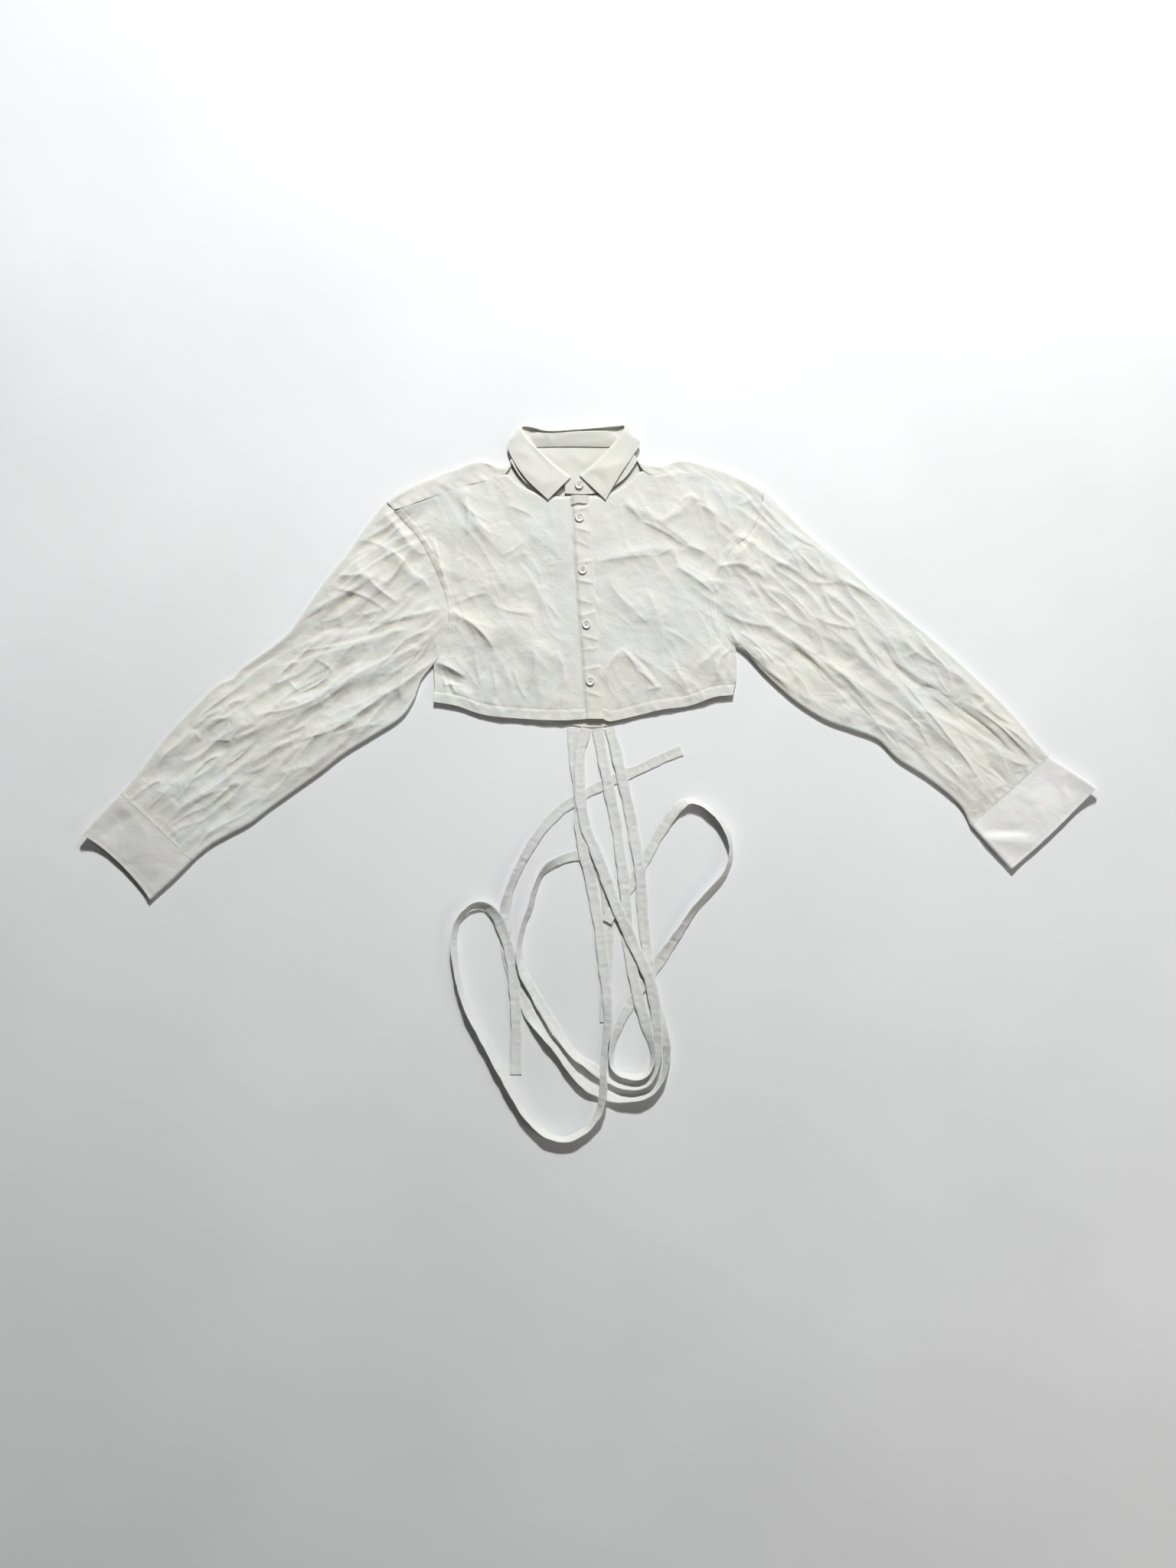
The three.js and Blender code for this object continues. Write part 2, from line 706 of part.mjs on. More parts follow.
// A wall along a strip: each station is a row of points, moved both ways along
// the strip's own normals.
function strip(stations, thick) {
  const outer = [];
  const inner = [];
  const last = stations.length - 1;
  for (let i = 0; i <= last; i += 1) {
    const outerRow = [];
    const innerRow = [];
    const end = stations[i].length - 1;
    for (let j = 0; j <= end; j += 1) {
      const run = stations[Math.min(i + 1, last)][j].clone().sub(stations[Math.max(i - 1, 0)][j]);
      const side = stations[i][Math.min(j + 1, end)].clone().sub(stations[i][Math.max(j - 1, 0)]);
      const normal = run.cross(side).normalize();
      outerRow.push(stations[i][j].clone().addScaledVector(normal, thick / 2));
      innerRow.push(stations[i][j].clone().addScaledVector(normal, -thick / 2));
    }
    outer.push(outerRow);
    inner.push(innerRow);
  }
  return wall(outer, inner, false);
}

// The stand, from its buttoned end round the right, the back and the left of
// the neck: a row has the upper edge and the neck seam.
const STAND = table(['across', 'down', 'z', 'seamAcross', 'seamDown', 'seamZ'], [
  [738, 618, 5.4, 738, 645, 4.9],
  [756, 617, 5.4, 757, 646, 4.9],
  [770, 613, 5.4, 780, 644.5, 4.9],
  [786, 600, 5.4, 800, 637, 4.9],
  [800, 583, 5.6, 818, 623, 5.2],
  [808.5, 574, 6.6, 831.5, 604, 6.2],
  [809.8, 573, 5.0, 832.8, 603, 4.6],
  [808.5, 572, 3.4, 827, 596, 3.0],
  [797, 569, 5.2, 806, 585.5, 3.0],
  [784, 569, 6.4, 790, 584, 3.0],
  [750, 571, 6.4, 750, 583.5, 3.0],
  [716, 572, 6.4, 708, 584, 3.0],
  [703, 571, 5.2, 693, 586, 3.0],
  [690.8, 572, 3.4, 673, 596, 3.0],
  [689.5, 573, 5.0, 666.7, 604, 4.6],
  [690.8, 574, 6.6, 668, 605, 6.2],
  [696, 584, 5.6, 680, 624, 5.2],
  [711, 600, 5.4, 696, 638, 4.9],
  [733, 619, 5.4, 716, 645, 4.9],
]);

function makeStand() {
  const count = (STAND.length - 1) * 2;
  const stations = [];
  for (let step = 0; step <= count; step += 1) {
    const row = along(STAND, step / count);
    const upper = vector(onBoard(row.across, row.down), row.z);
    const seam = vector(onBoard(row.seamAcross, row.seamDown), row.seamZ);
    stations.push([upper, upper.clone().lerp(seam, 0.5), seam]);
  }
  return strip(stations, BAND);
}

// The fall, from its left point round the back of the neck to its right point:
// a row has the fold over the stand and the free edge. behind is 1 where the
// fall goes down behind the stand and lies under it.
const FALL = table(['across', 'down', 'edgeAcross', 'edgeDown', 'behind'], [
  [746, 624, 716, 653.5, 0],
  [736, 617, 699, 638, 0],
  [722, 606, 688, 627, 0],
  [708, 593, 676, 611, 0],
  [692, 576, 665, 590, 0],
  [684, 565, 665, 577, 0],
  [684, 561, 676, 560, 0.5],
  [696, 565, 690, 556, 1],
  [716, 568, 714, 562, 1],
  [750, 567, 750, 560, 1],
  [782, 565, 783, 558, 1],
  [804, 563, 808, 556, 1],
  [814, 562, 822, 558, 0.5],
  [812, 567, 836, 578, 0],
  [802, 580, 828, 594, 0],
  [788, 595, 813, 616, 0],
  [772, 610, 801, 636, 0],
  [757, 622, 791, 654, 0],
]);

const FALL_TOP = 8.9; // height of the fold over the stand
const FALL_EDGE = 8.2; // height of the free edge on the fronts

function makeFall() {
  const count = 34;
  const stations = [];
  for (let step = 0; step <= count; step += 1) {
    const row = along(FALL, step / count);
    const fold = onBoard(row.across, row.down);
    const edge = onBoard(row.edgeAcross, row.edgeDown);
    const behind = clamp(row.behind, 0, 1);
    const inward = { x: edge.x + (fold.x - edge.x) * 0.3, y: edge.y };
    const station = [vector(fold, FALL_TOP)];
    const laid = [1 / 3, 2 / 3, 1].map((share) => vector(
      mixPoint(fold, edge, share), mixNumber(FALL_TOP, FALL_EDGE, share)));
    const tucked = [
      vector(edge, 4.4),
      vector({ x: inward.x, y: inward.y - 4 }, 1.1),
      vector({ x: inward.x, y: inward.y - 21 }, 0.9),
    ];
    laid.forEach((point, i) => station.push(point.lerp(tucked[i], behind)));
    stations.push(station);
  }
  return strip(stations, BAND);
}

// ---------------------------------------------------------------------------
// Buttons
// ---------------------------------------------------------------------------

const BUTTONS = table(['across', 'down', 'z'], [
  [756.5, 634, 6.5],
  [757, 677, 0],
  [761, 745, 0],
  [766, 816, 0],
  [771, 890, 0],
]);

function makeButton() {
  const radius = BUTTON.diameter / 2;
  const profile = [
    [0, 0],
    [radius - 1, 0],
    [radius, 1],
    [radius, BUTTON.thick - 0.5],
    [radius - 0.5, BUTTON.thick],
    [radius - BUTTON.rim, BUTTON.thick],
    [radius - BUTTON.rim - 0.6, BUTTON.thick - BUTTON.dish],
    [0, BUTTON.thick - BUTTON.dish],
  ].map(([x, y]) => new THREE.Vector2(x, y));
  return new THREE.LatheGeometry(profile, 20).rotateX(Math.PI / 2);
}

// ---------------------------------------------------------------------------
// Ties
// ---------------------------------------------------------------------------

// A row is one point of a tie's middle line. lift is the height of its lowest
// edge over the table. turn is how far it has rolled towards standing on edge,
// in degrees.
const TIE_COLUMNS = ['across', 'down', 'lift', 'turn'];

const TIES = {
  tie_a: table(TIE_COLUMNS, [
    [748, 951, 0, 0],
    [750, 985, 0, 0],
    [754, 1020, 1.2, 0],
    [757, 1045, 2.0, 0],
    [758, 1080, 1.6, 0],
    [763, 1118, 2.4, 0],
    [771, 1147, 1.2, 0],
    [777, 1180, 0.6, 0],
    [782, 1208, 1.6, 0],
    [786, 1240, 2.0, 0],
    [790, 1272, 2.0, 0],
    [793, 1300, 2.0, 10],
    [794, 1334, 1.0, 40],
    [790, 1371, 1.0, 55],
    [788, 1396, 5.0, 50],
    [788, 1412, 7.6, 45],
    [787, 1432, 7.6, 45],
    [782, 1452, 3.0, 55],
    [770, 1471, 0, 60],
    [757, 1480, 0, 62],
    [738, 1487, 0, 64],
    [710, 1479, 0, 66],
    [684, 1453, 0, 66],
    [660, 1412, 0, 66],
    [634, 1364, 0, 66],
    [612, 1321, 0, 64],
    [599, 1282, 0, 62],
    [593, 1236, 0, 60],
    [597, 1206, 0, 60],
    [613, 1186, 0, 55],
    [633, 1183, 0.8, 42],
    [648, 1196, 2.8, 22],
    [658, 1218, 2.6, 6],
    [667, 1250, 2.2, 0],
    [672, 1288, 2.6, 0],
    [674, 1330, 2.6, 0],
    [674, 1366, 0.6, 0],
    [674, 1403, 0, 0],
  ]),
  tie_b: table(TIE_COLUMNS, [
    [765, 951, 1.4, 0],
    [757.5, 985, 2.0, 0],
    [757, 1020, 3.4, 0],
    [759, 1045, 4.0, 0],
    [765, 1080, 3.6, 0],
    [776, 1108, 3.8, 0],
    [785, 1130, 4.2, 0],
    [795, 1157, 4.2, 0],
    [804, 1182, 5.0, 0],
    [814, 1204, 4.6, 0],
    [826, 1230, 2.6, 0],
    [838, 1255, 4.5, 0],
    [847, 1277, 4.5, 0],
    [854, 1305, 2.8, 10],
    [858, 1335, 1.8, 20],
    [860, 1365, 0.6, 40],
    [857, 1392, 0, 60],
    [849, 1410, 0, 66],
    [838, 1418, 0, 66],
    [822, 1419, 0, 60],
    [806, 1413, 0, 35],
    [790, 1405, 0, 22],
    [774, 1394, 0, 35],
    [748, 1375, 0, 45],
    [730, 1350, 0, 30],
    [714, 1325, 0, 20],
    [696, 1294, 0, 20],
    [682, 1266, 0, 45],
    [678, 1241, 0, 62],
    [683, 1210, 0, 62],
    [692, 1186, 0, 62],
    [698, 1164, 0, 62],
    [706, 1143, 0, 60],
    [720, 1129, 0, 35],
    [741, 1120, 0, 6],
    [762, 1118, 0, 0],
    [780, 1128, 0, 0],
    [790, 1152, 0, 0],
    [793.5, 1182, 0, 0],
    [794, 1210, 0, 0],
    [794, 1240, 0, 0],
    [793, 1275, 0, 0],
    [791, 1306, 0, 0],
    [791, 1335, 0, 0],
  ]),
  tie_c: table(TIE_COLUMNS, [
    [780.5, 951, 0, 0],
    [786, 985, 0.6, 0],
    [791, 1008, 2.0, 0],
    [797, 1038, 1.6, 0],
    [805, 1080, 0, 0],
    [811, 1120, 1.4, 0],
    [815, 1150, 2.6, 0],
    [817, 1176, 3.2, 0],
    [818, 1190, 3.2, 0],
    [819, 1206, 1.6, 0],
    [821, 1235, 0, 0],
    [826, 1268, 1.2, 0],
    [832, 1296, 2.0, 0],
    [838, 1318, 1.8, 5],
    [845, 1342, 0.4, 20],
    [851, 1364, 0, 50],
    [853, 1380, 0, 62],
    [849, 1396, 0, 66],
    [840, 1404, 0, 66],
    [829, 1406, 0, 66],
    [817, 1404, 0, 66],
    [806, 1399, 0, 66],
    [799, 1389, 0, 66],
    [798, 1374, 0, 62],
    [802, 1354, 0, 45],
    [811, 1332, 0, 20],
    [823, 1312, 0, 0],
    [838, 1290, 0, 0],
    [854, 1266, 0, 0],
    [870, 1243, 0, 12],
    [886, 1219, 0, 35],
    [900, 1197, 0, 45],
    [914, 1179, 0, 50],
    [931, 1160, 0, 55],
    [947, 1140, 0, 60],
    [954, 1117, 0, 64],
    [951, 1092, 0, 66],
    [939, 1070, 0, 66],
    [921, 1053, 0, 62],
    [902, 1046, 0, 50],
    [888, 1052, 0, 30],
    [873, 1070, 0, 10],
    [858, 1095, 0, 0],
    [838, 1131, 0, 0],
    [824, 1156, 0, 0],
    [808, 1178, 1.0, 0],
    [800, 1191, 2.0, 0],
    [793, 1204, 3.3, 0],
  ]),
  tie_d: table(TIE_COLUMNS, [
    [796, 951, 0, 0],
    [804, 980, 0.8, 0],
    [810, 1004, 2.0, 0],
    [816, 1030, 1.6, 0],
    [825, 1075, 0, 0],
    [832, 1112, 1.6, 0],
    [836, 1140, 2.4, 0],
    [838, 1172, 1.0, 0],
    [841, 1206, 0, 0],
    [844, 1235, 0, 0],
    [847, 1262, 2.4, 0],
    [852, 1290, 1.8, 0],
    [859, 1318, 0, 5],
    [866, 1345, 0, 20],
    [871, 1370, 0, 45],
    [869, 1394, 0, 62],
    [861, 1414, 0, 66],
    [849, 1427, 0, 66],
    [830, 1434, 0, 66],
    [810, 1434, 0, 45],
    [790, 1430, 0, 22],
    [770, 1420, 0, 35],
    [751, 1403, 0, 50],
    [733, 1378, 0, 50],
    [714, 1355, 0, 55],
    [696, 1330, 0, 16],
    [682, 1306, 0, 2],
    [671, 1282, 0, 0],
    [664, 1250, 0, 0],
    [660, 1218, 0, 0],
    [659, 1194, 0, 6],
    [664, 1168, 0, 38],
    [674, 1142, 0, 40],
    [688, 1113, 0, 25],
    [707, 1085, 0, 10],
    [730, 1060, 0, 0],
    [755, 1042, 0, 0],
    [780, 1029, 0, 0],
    [805, 1017, 0, 0],
    [835, 1004, 0, 0],
    [862, 992, 0, 0],
    [890, 980, 0, 0],
  ]),
};

const TIE_STEPS_PER_ROW = 2;

function makeTie(rows) {
  const count = (rows.length - 1) * TIE_STEPS_PER_ROW;
  const half = { wide: TIE.wide / 2, thick: TIE.thick / 2 };
  const edge = 1.2;
  const section = [
    [-half.wide, 0],
    [-half.wide + edge, half.thick],
    [half.wide - edge, half.thick],
    [half.wide, 0],
    [half.wide - edge, -half.thick],
    [-half.wide + edge, -half.thick],
  ];
  const middle = [];
  for (let step = 0; step <= count; step += 1) middle.push(along(rows, step / count));
  const rings = middle.map((row, i) => {
    const before = middle[Math.max(i - 1, 0)];
    const after = middle[Math.min(i + 1, count)];
    const dx = after.across - before.across;
    const dy = before.down - after.down;
    const length = Math.hypot(dx, dy);
    const aside = new THREE.Vector3(-dy / length, dx / length, 0);
    const turn = THREE.MathUtils.degToRad(clamp(row.turn, 0, 90));
    const centre = onBoard(row.across, row.down);
    const height = Math.max(row.lift, 0)
      + half.wide * Math.sin(turn) + half.thick * Math.cos(turn);
    return section.map(([wide, thick]) => {
      const point = new THREE.Vector3(centre.x, centre.y, height);
      point.addScaledVector(aside, wide * Math.cos(turn) - thick * Math.sin(turn));
      point.z += wide * Math.sin(turn) + thick * Math.cos(turn);
      return point;
    });
  });
  return bar(rings);
}

// ---------------------------------------------------------------------------
// Assembly
// ---------------------------------------------------------------------------

const CLOTH_COLOUR = 0xe9e8e2;
const CREAM_COLOUR = 0xece8dc;
const BUTTON_COLOUR = 0xf2f1ec;

const shirt = new THREE.Group();

function add(name, geometry, colour, roughness) {
  const material = new THREE.MeshStandardMaterial({
    color: colour, roughness, metalness: 0, side: THREE.DoubleSide });
  const mesh = new THREE.Mesh(geometry, material);
  mesh.name = name;
  shirt.add(mesh);
  return mesh;
}

add('back', makeBack(), CLOTH_COLOUR, 0.85);
add('yoke', makeYoke(), CREAM_COLOUR, 0.85);
for (const side of ['left', 'right']) {
  add(`front_${side}`, makeFront(side), CLOTH_COLOUR, 0.85);
  add(`sleeve_${side}`, makeSleeve(side), CLOTH_COLOUR, 0.85);
  add(`cuff_${side}`, makeCuff(side), CREAM_COLOUR, 0.85);
}
add('placket', makePlacket(), CREAM_COLOUR, 0.85);
add('collar_stand', makeStand(), CREAM_COLOUR, 0.85);
add('collar_fall', makeFall(), CREAM_COLOUR, 0.85);

BUTTONS.forEach((row, i) => {
  const button = add(`button_${i + 1}`, makeButton(), BUTTON_COLOUR, 0.35);
  const place = onBoard(row.across, row.down);
  const radius = BUTTON.diameter / 2;
  let seat = 0;
  for (const share of [-1, -0.5, 0, 0.5, 1]) {
    seat = Math.max(
      seat, upperFace(place.x, place.y + share * radius),
      upperFace(place.x + share * radius, place.y));
  }
  const z = row.z > 0 ? row.z : seat + HEM_EXTRA + LAP + BAND + 0.5;
  button.position.set(place.x, place.y, z);
});

for (const [name, rows] of Object.entries(TIES)) {
  add(name, makeTie(rows), CLOTH_COLOUR, 0.85);
}

export default shirt;
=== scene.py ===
"""Crumpled cropped cotton shirt laid flat, with four long ties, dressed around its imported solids.

Sizes are millimetres on the laying-out board of the part ("across" to the right, "down" towards the
viewer) until a mesh is made, which is in metres in the part's own frame.
"""

import math

import bpy
import numpy as np
from mathutils import Matrix, Vector
from mathutils.geometry import delaunay_2d_cdt


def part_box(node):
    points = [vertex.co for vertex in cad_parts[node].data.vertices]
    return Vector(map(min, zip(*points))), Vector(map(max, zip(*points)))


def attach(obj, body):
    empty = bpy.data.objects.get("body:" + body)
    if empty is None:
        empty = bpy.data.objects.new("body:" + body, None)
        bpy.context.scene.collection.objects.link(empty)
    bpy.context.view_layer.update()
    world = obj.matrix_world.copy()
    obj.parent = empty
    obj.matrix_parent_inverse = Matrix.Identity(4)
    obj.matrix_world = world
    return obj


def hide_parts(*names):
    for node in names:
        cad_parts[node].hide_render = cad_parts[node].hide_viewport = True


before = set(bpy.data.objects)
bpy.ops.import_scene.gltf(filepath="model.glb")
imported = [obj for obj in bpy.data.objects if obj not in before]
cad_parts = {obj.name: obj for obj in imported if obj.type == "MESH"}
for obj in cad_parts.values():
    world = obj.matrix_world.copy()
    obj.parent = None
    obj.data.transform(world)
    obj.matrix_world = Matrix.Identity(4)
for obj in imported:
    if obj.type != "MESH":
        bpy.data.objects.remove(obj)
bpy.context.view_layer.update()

MM = 0.001
BOARD_ACROSS = 769.5      # the frame's origin on the board
BOARD_DOWN = 865.1

PLY = 0.6                 # thickness of one ply of the cotton
BAND = 1.4                # thickness of collar, cuffs and band
LIE = 5.6                 # usual height of the upper ply's face
FOLDED_TOP = LIE - 0.4    # its height where the cloth folds over at a shoulder or a sleeve's edge
SLEEVE_LIFT = 1.8         # how much higher it lies on the sleeves
LOWEST_TOP = 2.4          # it stays between these two heights
HIGHEST_TOP = 19.0
HEM = 13.0                # depth of the turned hems
HEM_EXTRA = 0.8           # how far the fronts' hems stand out
BEND = 3.2                # how far a folded edge reaches past the flat faces
EDGE_RISE = 1.8           # lift of a sleeve's long edges
EDGE_BAND = 16.0          # width over which the upper ply comes down to them
PLACKET = 24.0            # width of the buttoned band
CELL = 1.45               # size of a mesh cell on the sleeves
FRONT_CELL = 1.3          # size of a mesh cell on the fronts
FRONT_LEVEL = 2.5         # height over LIE that the flatter right front is drawn towards

TIE_WIDE = 14.0
TIE_THICK = 1.0

# Equal steps down an armhole, down the side seam under it, and down the armhole to the yoke's seam.
ARMHOLE_STEPS = 14
SIDE_STEPS = 4
YOKE_STEPS = 4

UP = np.array([0.0, 0.0, 1.0])


# ---- Tables and curves ----

def on_board(across, down):
    return np.asarray(across) - BOARD_ACROSS, BOARD_DOWN - np.asarray(down)


def smooth(t):
    s = np.clip(t, 0.0, 1.0)
    return s * s * (3 - 2 * s)


def mix(a, b, t):
    return a + (b - a) * t


def along(rows, t):
    """Catmull-Rom through a table's rows. t is an array from 0 to 1, the result has one row for each t."""
    rows = np.asarray(rows, float)
    last = len(rows) - 1
    place = np.clip(np.asarray(t, float), 0, 1) * last
    i = np.minimum(np.floor(place).astype(int), last - 1)
    f = (place - i)[..., None]
    a = rows[np.maximum(i - 1, 0)]
    b = rows[i]
    c = rows[i + 1]
    d = rows[np.minimum(i + 2, last)]
    bend = (2 * b - 2 * c + (c - a) / 2 + (d - b) / 2) * f
    slope = -3 * b + 3 * c - (c - a) - (d - b) / 2
    return ((bend + slope) * f + (c - a) / 2) * f + b


def reach_along(x, y):
    """Distance of each point of a line from its first, along the line."""
    return np.concatenate([[0], np.cumsum(np.hypot(np.diff(x), np.diff(y)))])


def seam_line(rows):
    """A table of board points as a curve with even spacing: t from 0 to 1 gives x and y."""
    fine = along(rows, np.linspace(0, 1, 400))
    x, y = on_board(fine[:, 0], fine[:, 1])
    reach = reach_along(x, y)
    reach /= reach[-1]

    def at(t):
        t = np.clip(t, 0, 1)
        return np.interp(t, reach, x), np.interp(t, reach, y)
    return at


def line_length(line):
    x, y = line(np.linspace(0, 1, 200))
    return float(np.hypot(np.diff(x), np.diff(y)).sum())


ARMHOLES = {
    "left": seam_line([(505, 655), (522, 674), (546, 700), (564, 731), (580, 768),
                       (587, 798), (585, 830), (578, 852), (567, 868)]),
    "right": seam_line([(997, 640), (992, 668), (977, 698), (952, 720), (937, 748),
                        (932, 776), (936, 806), (945, 830), (960, 845)]),
}

SIDE_SEAMS = {
    "left": seam_line([(567, 868), (568, 894), (567, 917)]),
    "right": seam_line([(960, 845), (962, 876), (957, 908)]),
}


def armhole(side, t, off=0.0):
    """Points of an armhole seam, moved off the body by a distance."""
    t = np.asarray(t, float)
    before = ARMHOLES[side](t - 0.01)
    after = ARMHOLES[side](t + 0.01)
    x, y = ARMHOLES[side](t)
    dx, dy = after[0] - before[0], after[1] - before[1]
    length = np.hypot(dx, dy)
    away = 1 if side == "left" else -1
    return x + away * off * dy / length, y - away * off * dx / length


def side_edge(side, first_step, over=0.0):
    """Outer edge of a body piece: down the armhole, which it may overlap, and down the side seam."""
    steps = ARMHOLE_STEPS - first_step + SIDE_STEPS

    def at(v):
        step = first_step + np.asarray(v, float) * steps
        ax, ay = armhole(side, step / ARMHOLE_STEPS, over * smooth((ARMHOLE_STEPS - step) / 1.5))
        sx, sy = SIDE_SEAMS[side]((step - ARMHOLE_STEPS) / SIDE_STEPS)
        below = step > ARMHOLE_STEPS
        return np.where(below, sx, ax), np.where(below, sy, ay)
    return at


def patch(edges, us, vs):
    """Grid of points inside four edge curves, a row for each v."""
    u = np.asarray(us)[None, :]
    v = np.asarray(vs)[:, None]
    out = []
    for axis in (0, 1):
        top = edges["top"](us)[axis][None, :]
        bottom = edges["bottom"](us)[axis][None, :]
        left = edges["left"](vs)[axis][:, None]
        right = edges["right"](vs)[axis][:, None]
        upper = mix(top[:, :1], top[:, -1:], u)
        lower = mix(bottom[:, :1], bottom[:, -1:], u)
        out.append(mix(left, right, u) + mix(top, bottom, v) - mix(upper, lower, v))
    return out[0], out[1]


# ---- Folds, creases and crumples of the upper ply ----

# Across, down, to across, to down, bow, left flank, right flank, height.
FOLDS = [
    # left sleeve
    (592, 792, 392, 858, -8, 14, 10, 4.2),
    (575, 786, 300, 884, 10, 10, 15, -2.6),
    (590, 800, 300, 960, 14, 9, 18, 3.6),
    (560, 850, 262, 950, -16, 14, 8, -2.0),
    (446, 812, 300, 881, 4, 5, 20, -4.6),
    (560, 806, 424, 824, 3, 6, 14, -2.8),
    (532, 822, 336, 876, 4, 9, 5, 3.2),
    (588, 812, 430, 906, 6, 12, 6, 3.0),
    (430, 906, 292, 968, 6, 12, 6, 3.0),
    (300, 884, 252, 950, 4, 12, 8, 2.6),
    (548, 872, 330, 1010, 8, 14, 12, 3.0),
    (506, 660, 548, 712, 3, 6, 13, -2.6),
    (497, 664, 545, 724, 3, 8, 11, 3.6),
    (508, 712, 562, 772, -4, 8, 14, 2.4),
    (456, 716, 530, 790, -10, 14, 20, 2.6),
    (438, 752, 520, 768, 8, 9, 12, 1.8),
    (352, 896, 196, 1024, -10, 14, 10, 2.8),
    (430, 906, 290, 974, -12, 9, 14, 2.6),
    (455, 960, 300, 1060, 10, 16, 12, 2.4),
    (330, 1000, 214, 1058, 8, 12, 14, 2.0),
    (540, 842, 524, 916, -8, 12, 7, 3.0),
    # right sleeve
    (936, 776, 1182, 992, 16, 15, 12, 4.4),
    (1004, 826, 1160, 980, 12, 9, 12, -2.6),
    (1048, 796, 1284, 1030, 14, 11, 20, 3.8),
    (1140, 836, 1350, 1000, -12, 6, 15, -4.2),
    (1066, 858, 1200, 980, 4, 6, 13, 3.0),
    (1160, 820, 1362, 992, 12, 12, 12, 3.4),
    (984, 716, 1170, 806, 14, 12, 16, 3.2),
    (1020, 694, 1104, 736, 5, 7, 11, 2.6),
    (934, 742, 1006, 764, 10, 12, 9, 2.8),
    (946, 728, 992, 700, -6, 10, 12, 2.6),
    (1000, 652, 984, 712, 5, 9, 7, -2.0),
    (964, 826, 1040, 902, -6, 10, 13, 3.0),
    (1130, 944, 1246, 1046, -8, 14, 9, 3.4),
    (1236, 900, 1330, 1004, 8, 13, 9, 2.4),
    (1290, 996, 1326, 1030, 0, 14, 12, -1.8),
    # left front
    (566, 700, 590, 784, -3, 7, 13, 2.2),
    (604, 640, 660, 722, -10, 15, 10, 2.8),
    (590, 798, 652, 862, 8, 12, 9, 3.4),
    (596, 782, 700, 760, 8, 20, 16, 2.2),
    (640, 800, 736, 868, -10, 16, 22, 2.4),
    (650, 850, 672, 930, 4, 14, 14, 2.4),
    (704, 836, 716, 932, -6, 16, 12, 3.0),
    (676, 690, 742, 744, 6, 16, 14, 2.0),
    (560, 866, 608, 884, 2, 20, 6, 3.2),
    # right front
    (812, 656, 918, 726, 5, 13, 8, 3.8),
    (880, 716, 776, 738, -5, 12, 9, 2.6),
    (880, 738, 934, 778, 3, 12, 9, 2.6),
    (858, 684, 908, 644, -5, 12, 9, 3.4),
    (906, 650, 956, 694, 4, 9, 12, 2.6),
    (838, 606, 884, 628, 4, 9, 12, 2.0),
    (800, 748, 846, 812, -8, 14, 12, 2.2),
    (842, 768, 866, 850, 6, 12, 14, 2.2),
    (812, 846, 860, 902, 4, 8, 13, 3.4),
    (784, 890, 812, 848, 3, 10, 12, 2.2),
    (876, 858, 898, 900, -3, 10, 12, 2.2),
    (944, 838, 900, 878, 5, 14, 12, 3.2),
    (930, 846, 952, 896, -4, 8, 8, 2.4),
]

